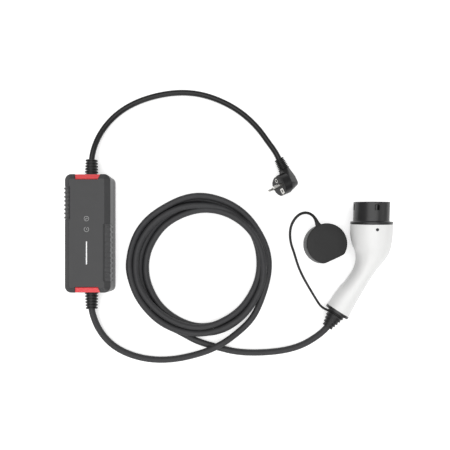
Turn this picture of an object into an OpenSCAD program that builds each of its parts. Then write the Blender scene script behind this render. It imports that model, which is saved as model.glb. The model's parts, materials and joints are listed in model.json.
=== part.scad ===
// Portable electric vehicle charger, laid out on a floor.
// A control box, a mains lead with an angled earthed plug, a coiled charging lead and a charging gun
// with its dust cap on a tether. The origin is the middle of the control box's underside, +Z is up
// and +Y runs from the charging lead's end of the box to the mains end. Millimetres.

/* [Control box] */
// Width of the control box
box_w = 79; // [74:1:100]
// Length of the control box between its two cable ends
box_l = 206; // [180:1:260]
// Height of the control box
box_h = 50; // [45:1:60]
// Wall thickness of both covers
wall = 2.6; // [2.2:0.1:3.2]
// Radius of the four upright corners
corner_r = 11; // [8:0.5:13]
// Width of the sloped edge around the front face
slope_w = 9; // [7:0.5:10]
// Drop of that sloped edge
slope_drop = 6.5; // [5:0.5:7.5]
// Chamfer around the underside
base_chamfer = 2.5; // [1:0.5:3]
// Height of the parting line and of both cable axes
parting_z = 16.5; // [16:0.5:22]
// Thickness of the flat seal between the covers
seal_t = 0.8; // [0.5:0.1:1.2]

/* [Grips and trims] */
// Depth of the grip recesses in the side walls
grip_depth = 1.4; // [1:0.1:1.6]
// Depth of the grip's web under the box surface
grip_sink = 0.5; // [0.3:0.1:0.8]
// Height of the left grip's ribs above the box surface
left_rib_proud = 1.2; // [0.4:0.1:1.6]
// Height of the right grip's ribs above the box surface
right_rib_proud = 0.5; // [0.2:0.1:1.2]
// Lower edge of both grips
grip_low_z = 27; // [25:0.5:32]
// Spacing of the left grip's ribs
left_rib_pitch = 7.2; // [6:0.2:8]
// Spacing of the right grip's ribs
right_rib_pitch = 9; // [7:0.2:9.4]
// Width of one grip rib
grip_rib_w = 3.4; // [2:0.2:4.4]
// Width of an end trim at the end of the box
trim_w = 44; // [34:1:48]
// Length of an end trim along the box
trim_l = 8.4; // [6:0.2:9]
// Thickness of an end trim
trim_t = 2.4; // [1.6:0.1:2.6]
// Depth of an end trim under the sloped edge
trim_sink = 0.6; // [0.3:0.1:1]
// Depth of an end trim's lower edge below the front face
trim_drop = 12; // [9:0.5:13]

/* [Controls] */
// Length of the light bar
bar_l = 40; // [24:1:44]
// Width of the light bar
bar_w = 2.6; // [2:0.1:4]
// Space between each end of the box and the main circuit board
board_end_gap = 28; // [26:0.5:31]
// Height of the main circuit board's underside
board_z = 9; // [8:0.5:9.5]
// Depth of the indicator board's underside below the front face
indicator_drop = 10; // [9.5:0.5:11]

/* [Cables] */
// Diameter of the mains cable
mains_d = 10; // [8:0.2:10.4]
// Diameter of the charging cable
ev_d = 11.4; // [10:0.2:11.8]
// Length of the mains boot outside the box
mains_boot_l = 29; // [22:1:36]
// Length of the charging boot outside the box
ev_boot_l = 30; // [24:1:36]
// Radius of a box boot at its root
boot_root_r = 11.7; // [10.5:0.1:12.5]
// Radius of a box boot at its tip
boot_tip_r = 10.6; // [8.6:0.1:11.2]
// Radius of a boot's neck in the box wall
boot_neck_r = 8.6; // [7.8:0.1:9.4]
// Depth of the grooves between boot ribs
boot_groove = 1.6; // [0.8:0.1:1.8]
// Width of one boot rib
boot_rib_w = 2.6; // [1.6:0.1:2.8]

/* [Charging gun] */
// Radius of the collar behind the nose
collar_r = 36; // [36:0.5:38]
// Thickness of the collar
collar_t = 4.5; // [3:0.5:6]
// Radius of the nose's round side
nose_r = 32.8; // [32:0.1:33]
// Distance from the nose's centre to its flat
nose_flat = 29.4; // [27.5:0.1:30]
// Length of the nose in front of the collar
nose_l = 33; // [32:0.5:38]
// Wall thickness of the nose
nose_wall = 3.2; // [2.6:0.1:3.4]
// Wall thickness of the handle
handle_wall = 2.6; // [2:0.1:3]
// Length of the nose's spigot inside the handle
spigot_l = 12; // [10:0.5:14]
// Bore radius of a power contact
power_bore_r = 3.05; // [2.9:0.05:3.2]
// Bore radius of a signal contact
signal_bore_r = 1.55; // [1.4:0.05:1.7]
// Depth of the contact bores
contact_depth = 24; // [18:1:26]
// Thickness of the black ring at the end of the handle
end_ring_t = 5; // [3:0.5:7]
// Length of the gun's boot outside the end ring
gun_boot_l = 30; // [22:1:34]
// Tilt of the gun, which lies on its handle's belly and on the black ring
gun_tilt = 5.65; // [5:0.05:6]

/* [Dust cap] */
// Wall thickness of the cap
cap_wall = 1.6; // [1.4:0.1:2.4]
// Height of the cap
cap_h = 39; // [37:0.5:43]
// Thickness of the tether
tether_d = 3.6; // [2.8:0.2:3.8]

/* [Mains plug] */
// Radius of the plug's face
plug_r = 18.5; // [18:0.1:19]
// Length of the plug's round front
plug_skirt_l = 16; // [15:0.5:18]
// Depth of the whole plug behind its face
plug_depth = 36; // [33:0.5:40]
// Distance between the two pins
pin_spacing = 19; // [18.6:0.1:19.4]
// Diameter of a pin
pin_d = 4.8; // [4.6:0.05:5]
// Length of a pin in front of the face
pin_l = 19; // [17:0.5:20]

/* [Fits] */
// Clearance around pieces set into a moulding
fit_gap = 0.15; // [0.1:0.05:0.3]
// Clearance around a cable in its boot or clamp
cable_gap = 0.3; // [0.2:0.05:0.5]
// Clearance around metal held in plastic
metal_gap = 0.05; // [0.02:0.01:0.1]
// Clearance of the cap on the nose
cap_gap = 0.4; // [0.3:0.05:0.6]

/* [Hidden] */
$fn = 64;
// Overlap that carries a cut past the face it opens
over = 1;
// Control box: the slope's unit normal and its length along the section
slope_run = norm([slope_w, slope_drop]);
slope_n = [slope_drop, slope_w] / slope_run;
front_low_z = parting_z;
rear_top_z = parting_z - seal_t;
ceiling_z = box_h - wall;
// Grips: rib counts, share of the slope that a rib climbs, and middles along the box
left_ribs = 8;
right_ribs = 11;
rib_share = 0.8;
left_grip_inset = 50.5;
right_grip_inset = 69.5;
left_grip_y = box_l / 2 - left_grip_inset;
right_grip_y = right_grip_inset - box_l / 2;
// End trims: taper of one side, groove inboard of the trim, and the block that backs the notch
trim_taper = 2.5;
trim_groove = 2;
trim_back = 5;
trim_block_t = 12;
trim_low_z = box_h - trim_drop;
trim_block_z = trim_low_z - 2;
// Cover screws at the corners
screw_inset = 8;
screw_r = 1.5;
screw_hole_r = 1.75;
screw_head_r = 2.8;
screw_head_t = 2.2;
screw_seat_z = 3.6;
screw_top_drop = 14;
screw_top_z = box_h - screw_top_drop;
screw_boss_r = 4.2;
// Cable clamps: place along the box, block size and screw spacing
clamp_y = box_l / 2 - wall - 15;
clamp_t = 8;
clamp_w = 34;
clamp_h = 8;
clamp_screw_x = 12;
boot_flange_r = 11;
boot_flange_t = 3;
cable_end_y = clamp_y - clamp_t;
// Boards: the pieces on the main board keep their share of its length
board_t = 1.6;
board_w = 62;
board_l = box_l - 2 * board_end_gap;
board_top_z = board_z + board_t;
indicator_z = box_h - indicator_drop;
board_post = [26, board_l / 2 - 9];
board_post_r = 3.2;
small_screw_r = 1;
small_head_r = 2.1;
small_head_t = 1.5;
small_screw_l = 6;
terminal_t = 11;
terminal_h = 14.4;
terminal_inset = 8;
terminal_y = board_l / 2 - terminal_inset - terminal_t / 2;
core_z = parting_z;
relay_size = [17, 0.2 * board_l, 20];
relay_at = [14, 0.133 * board_l];
sensor_head_gap = 3.4;
sensor_size = [26, 12, indicator_z - board_top_z - sensor_head_gap];
sensor_y = 0.293 * board_l;
sensor_bore_r = 7;
module_size = [30, 0.173 * board_l, 16];
module_at = [-12, -0.147 * board_l];
capacitor_r = 5;
capacitor_h = 20;
capacitor_at = [[14, -0.08 * board_l], [14, -0.173 * board_l]];
chip_size = [12, 0.08 * board_l, 1.4];
chip_at = [-10, -0.3 * board_l];
connector_size = [5, 0.107 * board_l];
connector_at = [9, -0.293 * board_l];
indicator_size = [30, 104, 1.2];
indicator_y = -11;
indicator_top_z = indicator_z + indicator_size[2];
indicator_post = [11, 46];
indicator_post_r = 2.6;
bar_y = -34;
bar_flange = 2;
bar_flange_t = 1.5;
bar_proud = 0.2;
led_size = [3, 3, 1.4];
leds = 4;
touch_y = [25, 6.5];
touch_r = 4;
// Cables: insulated cores, boots' ribs
core_r = 1.4;
signal_core_r = 1;
mains_boot_ribs = 6;
ev_boot_ribs = 6;
// Gun: place of the collar's back face. Its axis runs along +Y and rises to the nose by the tilt
gun_at = [493.5, 15.5, collar_r + 1.4];
nose_c = (nose_r - nose_flat) / 2;
nose_front = collar_t + nose_l;
carrier_seat = 1;
carrier_plate_t = 5;
carrier_tip = nose_front - 3;
carrier_lip = 1.6;
ledge_r = 26;
spigot_r = collar_r - handle_wall - 1;
spigot_wall = 3;
power_tower_r = 6.5;
power_sleeve_r = 4.2;
signal_tower_r = 4.6;
signal_sleeve_r = 2.6;
contact_tail = 10;
crimp_depth = 8;
crimp_share = 0.8;
// Places of the contacts across the nose: towards the flat, then sideways
earth_at = [0, 0];
live_at = [0, 17.3];
neutral_at = [0, -17.3];
spare_at = [[-15.5, 8.7], [-15.5, -8.7]];
pilot_at = [13.5, 7.6];
proximity_at = [13.5, -7.6];
// Lock recesses: distance from the front, length, width and depth
lock_front = 4;
lock_l = 10;
lock_w = 8.2;
lock_depth = 2.4;
gun_screw_y = -7.4;
gun_screw_head_r = 2.6;
gun_screw_seat = collar_r - 1.8;
gun_screw_len = 8;
// Handle sections from the collar to the tail: across, back, turn in degrees, half width, half depth
handle_sections = [
    [0, 0, 0, collar_r, collar_r],
    [0, 18, 0, collar_r, collar_r - 0.8],
    [1.5, 36, 0, 33.2, 32.6],
    [1.8, 50, 4, 28.5, 29.2],
    [-2.1, 62, 10, 23.4, 26.4],
    [-7.9, 73.7, 18, 18.9, 24],
    [-15.1, 87.9, 27, 16.9, 22],
    [-26.3, 106.4, 31, 17.5, 21],
    [-41.1, 127.9, 32, 20, 20.8],
    [-55.3, 151.5, 32, 21.6, 21.4]
];
handle_steps = 3;
handle_sides = 24;
tail = handle_sections[len(handle_sections) - 1];
tail_lip = 0.3;
tail_r = tail[3] + tail_lip;
gun_boot_neck_r = 12;
gun_boot_root_r = 15.9;
gun_boot_tip_r = 9.6;
gun_boot_ribs = 5;
gun_flange_r = 16.5;
gun_flange_t = 4;
gun_clamp_t = 10;
gun_clamp_r = 14;
tether_seat_l = 4;
tether_seat_r = 12.4;
tether_ring_r = 15.2;
tether_ring_t = 3.4;
// Cap: place, turn of its flat and the lug that holds the tether
cap_at = [415.4, -18.4];
cap_turn = -64.9;
cap_r = nose_r + cap_gap + cap_wall;
cap_flat = nose_flat + cap_gap + cap_wall;
cap_top_t = 2.4;
lug_turn = 113.5;
lug_w = 8;
lug_l = 2.6;
lug_z = 34;
// Plug: middle of its face, turn of its pins about Z, lift of its pins, place of the cable's axis
plug_at = [333.4, 84.8, 24];
plug_turn = 206;
plug_lift = 25;
entry_back = 20.5;
plug_step = 0.6;
plug_back_r = 7;
plug_back_t = 4;
plug_back_y = [-4, 5];
plug_run_in = 8;
plug_neck_r = 9;
plug_neck_l = 24;
plug_boot_l = 20;
plug_boot_root_r = 10.6;
plug_boot_tip_r = 9;
plug_boot_ribs = 5;
plug_cable_in = 18;
bridge_r = 15.6;
bridge_t = 3;
pin_root = 10;
pin_root_d = 4;
pin_tip_chamfer = 1.2;
socket_y = -10;
socket_r = 3.6;
socket_bore_r = 2.45;
socket_l = 12;
strap_w = 9;
strap_t = 1;
strap_depth = 13;
strap_y = plug_r - 1.6;
// Coil: middle, radii of the three turns side by side and the turn that lies on them
coil_at = [190.8, -55.7];
coil_inner_turn = 102.3;
coil_turns = 3;
coil_pack = 0.99;
coil_top_lift = 0.86;

// Where the cables enter the plug and the gun
function turn_z(v, a) = [v[0] * cos(a) - v[1] * sin(a), v[0] * sin(a) + v[1] * cos(a), v[2]];
function turn_y(v, a) = [v[0] * cos(a) + v[2] * sin(a), v[1], v[2] * cos(a) - v[0] * sin(a)];
function turn_x(v, a) = [v[0], v[1] * cos(a) - v[2] * sin(a), v[1] * sin(a) + v[2] * cos(a)];
function plug_point(v) = plug_at + turn_z(turn_y(v, 90 - plug_lift), plug_turn);
function tail_side(d, r) = gun_at + turn_x([tail[0], -tail[1], 0] + turn_z([-r, -d, 0], -tail[2]), gun_tilt);
function tail_point(d) = tail_side(d, 0);
plug_approach = plug_point([0, -plug_neck_l - plug_boot_l - plug_run_in, -entry_back]);
plug_mouth = plug_point([0, -plug_neck_l - plug_boot_l, -entry_back]);
plug_cable_end = plug_point([0, -plug_neck_l - plug_boot_l + plug_cable_in, -entry_back]);
gun_mouth = tail_point(end_ring_t + gun_boot_l);
gun_cable_end = tail_point(-gun_flange_t - gun_clamp_t - 2 * over);
// Where the tether meets the cap's lug and its own ring
tether_reach = 0.8;
lug_d = cap_r + lug_l + tether_reach;
tether_start = [cap_at[0] + lug_d * cos(lug_turn), cap_at[1] + lug_d * sin(lug_turn), cap_h - 3];
tether_end = tail_side(end_ring_t + tether_seat_l / 2, tether_ring_r + tether_reach);

// Routes of the cables and the tether, by hand
mains_route = [
    [0, cable_end_y, parting_z], [0, box_l / 2, parting_z], [0, box_l / 2 + mains_boot_l, parting_z],
    [2.9, 150, 15.5], [8.1, 167.6, 12.5], [17, 186.3, 9], [31.8, 206.3, 6.4], [52.4, 224.3, 5.4],
    [84.7, 241.3, 5.4], [120.7, 251.9, 5.4], [156.5, 256.2, 5.4], [192.7, 253.2, 5.4], [229.1, 241.6, 5.4],
    [265.7, 221.1, 5.4], [302.3, 184.6, 8.5], [316, 163.5, 12], plug_approach, plug_mouth, plug_cable_end
];
lead_in_route = [
    [0, -cable_end_y, parting_z], [0, -box_l / 2 - ev_boot_l, parting_z], [3, -148.6, 14], [9.7, -167.3, 10],
    [20.7, -185.2, 7], [38.6, -202.3, 6], [61.5, -214.8, 6], [90.9, -223.6, 6], [124, -226.6, 6],
    [157, -223.5, 6.5], [188.2, -215.3, 11.5], [207, -208.4, 16], [220.2, -202.3, 18], [237.4, -193.1, 16],
    [257.1, -179.7, 11], [280.5, -158.8, 6]
];
lead_out_route = [
    [185.4, -192.2, 6], [220, -202.6, 6], [251, -210.5, 6], [283.3, -213.6, 6], [315.7, -212.7, 6.2],
    [346.4, -208.1, 9.5], [374.4, -198.9, 13.5], [397.7, -185.2, 17], gun_mouth, gun_cable_end
];
tether_route = [
    tether_start, [396.4, 26.1, 33], [390.2, 34.4, 26], [380.8, 38.1, 16], [371.4, 34.9, 8], [363, 25.5, 4],
    [357.3, 11.8, 3], [356.2, -3.1, 3], [358.1, -17, 3], [362.8, -31.6, 3], [368.3, -49.5, 3], [375.5, -68.3, 3],
    [383.6, -84.5, 4.5], [393.7, -102.1, 8.5], [402.9, -117.5, 14], [410.6, -127.5, 19], tether_end
];

// Curve through a route, with k steps in each span
function bend(a, b, c, d, t) =
    0.5 * (2 * b + (c - a) * t + (2 * a - 5 * b + 4 * c - d) * t * t + (3 * b - a - 3 * c + d) * t * t * t);
function curve(p, k) = let (n = len(p) - 1) concat(
    [for (i = [0 : n - 1], s = [0 : k - 1]) bend(p[max(i - 1, 0)], p[i], p[i + 1], p[min(i + 2, n)], s / k)],
    [p[n]]
);
function unit(v) = v / norm(v);
function heading(p, i) = unit(p[min(i + 1, len(p) - 1)] - p[max(i - 1, 0)]);
function ring(c, side, up, r, n) = [for (j = [0 : n - 1]) c + r * (cos(360 * j / n) * side + sin(360 * j / n) * up)];
function cable_ring(p, i, r, n) =
    let (t = heading(p, i), side = unit(cross([0, 0, 1], t))) ring(p[i], side, cross(t, side), r, n);
function skin(rings, n) = [
    for (i = [0 : rings - 2], j = [0 : n - 1])
        [i * n + j, (i + 1) * n + j, (i + 1) * n + (j + 1) % n, i * n + (j + 1) % n]
];

// Round cable swept along the points of a route
module cable(path, r, n) {
    rings = len(path);
    polyhedron(
        points = [for (i = [0 : rings - 1]) each cable_ring(path, i, r, n)],
        faces = concat(
            [[for (j = [0 : n - 1]) j]],
            skin(rings, n),
            [[for (j = [n - 1 : -1 : 0]) (rings - 1) * n + j]]
        )
    );
}

// Rectangle about the origin with true corner arcs
module rounded_rect(w, l, r) {
    square([w - 2 * r, l], center = true);
    square([w, l - 2 * r], center = true);
    for (x = [-1, 1], y = [-1, 1])
        translate([x * (w / 2 - r), y * (l / 2 - r)]) circle(r);
}

// Section across the front cover, with both upper edges sloped
function front_section(half, low, high) = [
    [-half, low], [half, low], [half, high - slope_drop], [half - slope_w, high],
    [slope_w - half, high], [-half, high - slope_drop]
];

// Section across the rear cover, with both lower edges chamfered
function rear_section(half, low, high) = [
    [base_chamfer - half, low], [half - base_chamfer, low], [half, low + base_chamfer], [half, high],
    [-half, high], [-half, low + base_chamfer]
];

// A section drawn across the box and carried along it, or the other way round
module along_y(l) { rotate([90, 0, 0]) linear_extrude(l, center = true) children(); }
module along_x(l) { rotate([90, 0, 90]) linear_extrude(l, center = true) children(); }

// Outer form of the front cover, drawn in by an inset
module front_form(inset, low) {
    high = box_h - inset;
    intersection() {
        translate([0, 0, low]) linear_extrude(high - low)
            rounded_rect(box_w - 2 * inset, box_l - 2 * inset, corner_r - inset);
        along_y(2 * box_l) polygon(front_section(box_w / 2 - inset, low, high));
        along_x(2 * box_w) polygon(front_section(box_l / 2 - inset, low, high));
    }
}

// Outer form of the rear cover, drawn in by an inset
module rear_form(inset, high) {
    intersection() {
        translate([0, 0, inset]) linear_extrude(high - inset)
            rounded_rect(box_w - 2 * inset, box_l - 2 * inset, corner_r - inset);
        along_y(2 * box_l) polygon(rear_section(box_w / 2 - inset, inset, high));
        along_x(2 * box_w) polygon(rear_section(box_l / 2 - inset, inset, high));
    }
}

// Strip that follows a wall and the slope above it, between two offsets from the surface
function edge_corner(half, d) = [half + d, box_h - slope_drop + d * (1 - slope_n[0]) / slope_n[1]];
function edge_point(half, d, run) = edge_corner(half, d) + run * [-slope_w, slope_drop] / slope_run;
function edge_strip(half, inner, outer, low, run) = [
    [half + inner, low], [half + outer, low], edge_corner(half, outer), edge_point(half, outer, run),
    edge_point(half, inner, run), edge_corner(half, inner)
];

// Recess for a grip in the right-hand side wall, open to the outside
module grip_recess(y, l) {
    translate([0, y, 0]) along_y(l)
        polygon(edge_strip(box_w / 2, -grip_depth, 3 * over, grip_low_z, 2 * slope_run));
}

// Ribbed grip in the right-hand side wall
module grip(y, ribs, pitch, proud) {
    web_l = ribs * pitch - 2 * fit_gap;
    low = grip_low_z + fit_gap;
    translate([0, y, 0]) {
        along_y(web_l) polygon(edge_strip(box_w / 2, -grip_depth, -grip_sink, low, slope_run - over));
        for (i = [0 : ribs - 1])
            translate([0, (i - (ribs - 1) / 2) * pitch, 0]) along_y(grip_rib_w)
                polygon(edge_strip(box_w / 2, -grip_depth, proud, low, rib_share * slope_run));
    }
}

// Plan of an end trim at the +Y end, grown by a clearance and lengthened inboard
module trim_plan(grow, longer) {
    end = box_l / 2 + over;
    inner = box_l / 2 - trim_l - longer;
    polygon([
        [-trim_w / 2 - grow, end], [trim_w / 2 + grow, end],
        [trim_w / 2 - trim_taper + grow, inner], [trim_taper - trim_w / 2 - grow, inner]
    ]);
}

// Notch for the end trim at the +Y end
module trim_notch() {
    intersection() {
        along_x(box_w) polygon(
            edge_strip(box_l / 2, -trim_t - trim_sink, 3 * over, trim_low_z - fit_gap, 2 * slope_run));
        linear_extrude(2 * box_h) trim_plan(fit_gap, trim_groove);
    }
}

// Coloured end trim at the +Y end
module end_trim() {
    intersection() {
        along_x(box_w) polygon(
            edge_strip(box_l / 2, -trim_t - trim_sink, -trim_sink, trim_low_z, 2 * slope_run));
        linear_extrude(2 * box_h) trim_plan(0, 0);
    }
}

// Both ends of the box, with the -Y end as a mirror image
module both_ends() {
    children();
    mirror([0, 1, 0]) children();
}

// Places of the four cover screws
module at_screws() {
    for (x = [-1, 1], y = [-1, 1])
        translate([x * (box_w / 2 - screw_inset), y * (box_l / 2 - screw_inset), 0]) children();
}

// Holes for both boots through the end walls
module boot_holes() {
    translate([0, 0, parting_z]) rotate([90, 0, 0])
        cylinder(r = boot_neck_r + fit_gap, h = 2 * box_l, center = true);
}

// Outline of the light bar with round ends
module bar_outline(grow) {
    square([bar_w + 2 * grow, bar_l - bar_w], center = true);
    for (y = [-1, 1])
        translate([0, y * (bar_l - bar_w) / 2]) circle(bar_w / 2 + grow);
}

module front_cover() {
    color("dimgray") difference() {
        union() {
            difference() {
                front_form(0, front_low_z);
                front_form(wall, front_low_z - over);
            }
            intersection() {
                front_form(wall / 2, front_low_z);
                union() {
                    at_screws() translate([0, 0, front_low_z]) cylinder(r = screw_boss_r, h = box_h);
                    both_ends() translate([-trim_w / 2 - trim_back / 2, box_l / 2 - wall - trim_block_t, trim_block_z])
                        cube([trim_w + trim_back, trim_block_t + wall, box_h]);
                }
            }
            for (x = [-1, 1], y = [-1, 1])
                translate([x * indicator_post[0], indicator_y + y * indicator_post[1], indicator_top_z])
                    cylinder(r = indicator_post_r, h = ceiling_z + wall / 2 - indicator_top_z);
        }
        grip_recess(right_grip_y, right_ribs * right_rib_pitch);
        mirror([1, 0, 0]) grip_recess(left_grip_y, left_ribs * left_rib_pitch);
        both_ends() trim_notch();
        boot_holes();
        translate([0, bar_y, ceiling_z - over]) linear_extrude(wall + 2 * over) bar_outline(fit_gap);
        at_screws() translate([0, 0, front_low_z - over])
            cylinder(r = screw_r + metal_gap, h = screw_top_z - front_low_z + 2 * over);
        for (x = [-1, 1], y = [-1, 1])
            translate([x * indicator_post[0], indicator_y + y * indicator_post[1], indicator_top_z - over])
                cylinder(r = small_screw_r + metal_gap, h = small_screw_l - indicator_size[2] + 1.5 * over);
    }
}

module rear_cover() {
    color("gray") difference() {
        union() {
            difference() {
                rear_form(0, rear_top_z);
                rear_form(wall, rear_top_z + over);
            }
            intersection() {
                rear_form(wall / 2, rear_top_z);
                at_screws() cylinder(r = screw_boss_r, h = rear_top_z);
            }
            for (x = [-1, 1], y = [-1, 1])
                translate([x * board_post[0], y * board_post[1], wall / 2])
                    cylinder(r = board_post_r, h = board_z - wall / 2);
            for (y = [-1, 1])
                translate([-clamp_w / 2, y * clamp_y - clamp_t / 2, wall / 2])
                    cube([clamp_w, clamp_t, parting_z - cable_gap - wall / 2]);
        }
        boot_holes();
        at_screws() {
            translate([0, 0, -over]) cylinder(r = screw_head_r + fit_gap, h = screw_seat_z + over);
            cylinder(r = screw_hole_r, h = box_h);
        }
        for (x = [-1, 1], y = [-1, 1]) {
            translate([x * board_post[0], y * board_post[1], board_top_z - small_screw_l])
                cylinder(r = small_screw_r + metal_gap, h = box_h);
            translate([x * clamp_screw_x, y * clamp_y, board_z])
                cylinder(r = screw_r + metal_gap, h = box_h);
        }
    }
}

module housing_seal() {
    color("black") translate([0, 0, rear_top_z]) difference() {
        linear_extrude(seal_t) difference() {
            rounded_rect(box_w - 2 * fit_gap, box_l - 2 * fit_gap, corner_r - fit_gap);
            rounded_rect(box_w - 2 * wall, box_l - 2 * wall, corner_r - wall);
        }
        translate([0, 0, -rear_top_z]) boot_holes();
    }
}

module mains_end_trim() { color("indianred") end_trim(); }

module ev_end_trim() { color("indianred") mirror([0, 1, 0]) end_trim(); }

module left_grip() {
    color("black") mirror([1, 0, 0]) grip(left_grip_y, left_ribs, left_rib_pitch, left_rib_proud);
}

module right_grip() { color("black") grip(right_grip_y, right_ribs, right_rib_pitch, right_rib_proud); }

module light_bar() {
    color("white") translate([0, bar_y, 0]) {
        translate([0, 0, ceiling_z]) linear_extrude(wall + bar_proud) bar_outline(0);
        translate([0, 0, ceiling_z - bar_flange_t]) linear_extrude(bar_flange_t) bar_outline(bar_flange);
    }
}

// Points of a boot's ribbed outside, from its root to its tip
function rib_points(from, length, ribs, root_r, tip_r) = let (pitch = (length - from - boot_rib_w) / (ribs - 1)) [
    for (i = [0 : ribs - 1]) let (z = from + i * pitch, r = root_r + (tip_r - root_r) * i / (ribs - 1))
        each concat(
            [[r, z], [r, z + boot_rib_w]],
            i < ribs - 1 ? [[r - boot_groove, z + boot_rib_w], [r - boot_groove, z + pitch]] : []
        )
];

// Boot about the z axis: flange and neck below zero, then a plain seat and ribs above it
module ribbed_boot(bore_r, flange, neck, seat, length, ribs, root_r, tip_r) {
    rotate_extrude() polygon(concat(
        [[bore_r, -neck[1] - flange[1]], [flange[0], -neck[1] - flange[1]], [flange[0], -neck[1]],
         [neck[0], -neck[1]], [neck[0], 0], [seat[0], 0], [seat[0], seat[1]]],
        rib_points(seat[1], length, ribs, root_r, tip_r),
        [[bore_r, length]]
    ));
}

module mains_strain_relief() {
    color("black") translate([0, box_l / 2, parting_z]) rotate([-90, 0, 0])
        ribbed_boot(mains_d / 2 + cable_gap, [boot_flange_r, boot_flange_t], [boot_neck_r, wall],
            [boot_root_r - boot_groove, boot_rib_w / 2], mains_boot_l, mains_boot_ribs, boot_root_r, boot_tip_r);
}

module ev_strain_relief() {
    color("black") translate([0, -box_l / 2, parting_z]) rotate([90, 0, 0])
        ribbed_boot(ev_d / 2 + cable_gap, [boot_flange_r, boot_flange_t], [boot_neck_r, wall],
            [boot_root_r - boot_groove, boot_rib_w / 2], ev_boot_l, ev_boot_ribs, boot_root_r, boot_tip_r);
}

// Clamp bar over a cable at the +Y end
module clamp_bar() {
    translate([-clamp_w / 2, clamp_y - clamp_t / 2, parting_z]) difference() {
        cube([clamp_w, clamp_t, clamp_h]);
        for (x = [-1, 1])
            translate([clamp_w / 2 + x * clamp_screw_x, clamp_t / 2, -over]) cylinder(r = screw_hole_r, h = box_h);
    }
}

// Room for a cable in its clamp and saddle
module cable_room(d) {
    translate([0, 0, parting_z]) rotate([90, 0, 0]) cylinder(r = d / 2 + cable_gap, h = 2 * box_l, center = true);
}

module mains_cord_clamp() {
    color("dimgray") difference() {
        clamp_bar();
        cable_room(mains_d);
    }
}

module ev_cord_clamp() {
    color("dimgray") difference() {
        mirror([0, 1, 0]) clamp_bar();
        cable_room(ev_d);
    }
}

// Screw standing on z = 0 with its shank below
module screw(r, l, head_r, head_t) {
    translate([0, 0, -l]) cylinder(r = r, h = l);
    cylinder(r = head_r, h = head_t);
}

module clamp_screws() {
    color("silver") for (x = [-1, 1], y = [-1, 1])
        translate([x * clamp_screw_x, y * clamp_y, parting_z + clamp_h])
            screw(screw_r, parting_z + clamp_h - board_z - over, screw_head_r, screw_head_t);
}

module housing_screws() {
    color("silver") at_screws() translate([0, 0, screw_seat_z]) rotate([180, 0, 0])
        screw(screw_r, screw_top_z - screw_seat_z, screw_head_r, screw_head_t);
}

module main_board() {
    color("darkgreen") translate([0, 0, board_z]) difference() {
        linear_extrude(board_t) square([board_w, board_l], center = true);
        for (x = [-1, 1], y = [-1, 1])
            translate([x * board_post[0], y * board_post[1], -over])
                cylinder(r = small_screw_r + fit_gap, h = board_t + 2 * over);
    }
}

module board_screws() {
    color("silver") for (x = [-1, 1], y = [-1, 1])
        translate([x * board_post[0], y * board_post[1], board_top_z])
            screw(small_screw_r, small_screw_l, small_head_r, small_head_t);
}

// Block standing on the main board
module on_board(at, size) {
    translate([at[0] - size[0] / 2, at[1] - size[1] / 2, board_top_z]) cube(size);
}

module relay_live() { color("royalblue") on_board([-relay_at[0], relay_at[1]], relay_size); }

module relay_neutral() { color("royalblue") on_board(relay_at, relay_size); }

module leakage_sensor() {
    color("black") difference() {
        on_board([0, sensor_y], sensor_size);
        translate([0, sensor_y, board_top_z + sensor_size[2] / 2]) rotate([90, 0, 0])
            cylinder(r = sensor_bore_r, h = 2 * sensor_size[1], center = true);
    }
}

module supply_module() { color("khaki") on_board(module_at, module_size); }

module supply_capacitors() {
    color("navy") for (p = capacitor_at)
        translate([p[0], p[1], board_top_z]) cylinder(r = capacitor_r, h = capacitor_h);
}

// Sideways places of the cores at a cable's end and at its terminal, with their height there
mains_core_x = [[-3, -9], [0, 0], [3, 9]];
ev_core_x = [[-3, -11], [0, 0], [3, 11], [-1.6, -5.5], [1.6, 5.5]];
function core_lift(i) = i < 3 ? -1.5 : 1.6;

// Terminal block with an entry for each core
module terminal(cores) {
    difference() {
        on_board([0, terminal_y], [board_w / 2, terminal_t, terminal_h]);
        for (i = [0 : len(cores) - 1])
            translate([cores[i][1], terminal_y + terminal_t / 2 + over, core_z + core_lift(i)]) rotate([90, 0, 0])
                cylinder(r = core_r + cable_gap, h = terminal_t / 2);
    }
}

// Cores from a cable's end to its terminal
module cores(places) {
    start = cable_end_y;
    end = terminal_y + terminal_t / 2 - 3 * over;
    for (i = [0 : len(places) - 1]) {
        z = core_z + core_lift(i);
        from = places[i][0];
        to = places[i][1];
        r = i < 3 ? core_r : signal_core_r;
        cable([[from, start, z], [from, start - 2 * over, z], [to, end + 5 * over, z], [to, end, z]], r, 8);
    }
}

module mains_terminal() { color("green") terminal(mains_core_x); }

module ev_terminal() { color("green") mirror([0, 1, 0]) terminal(ev_core_x); }

module mains_cores() { color("saddlebrown") cores(mains_core_x); }

module ev_cores() { color("saddlebrown") mirror([0, 1, 0]) cores(ev_core_x); }

module controller_chip() { color("black") on_board(chip_at, chip_size); }

module board_connector() {
    color("black") on_board(connector_at, [connector_size[0], connector_size[1], indicator_z - board_top_z]);
}

module indicator_board() {
    color("darkgreen") translate([0, indicator_y, indicator_z]) difference() {
        linear_extrude(indicator_size[2]) square([indicator_size[0], indicator_size[1]], center = true);
        for (x = [-1, 1], y = [-1, 1])
            translate([x * indicator_post[0], y * indicator_post[1], -over])
                cylinder(r = small_screw_r + fit_gap, h = indicator_size[2] + 2 * over);
    }
}

module indicator_screws() {
    color("silver") for (x = [-1, 1], y = [-1, 1])
        translate([x * indicator_post[0], indicator_y + y * indicator_post[1], indicator_z]) rotate([180, 0, 0])
            screw(small_screw_r, small_screw_l - over, small_head_r, small_head_t);
}

module status_leds() {
    pitch = bar_l / leds;
    color("white") for (i = [0 : leds - 1])
        translate([-led_size[0] / 2, bar_y + (i - (leds - 1) / 2) * pitch - led_size[1] / 2, indicator_top_z])
            cube(led_size);
}

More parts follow.
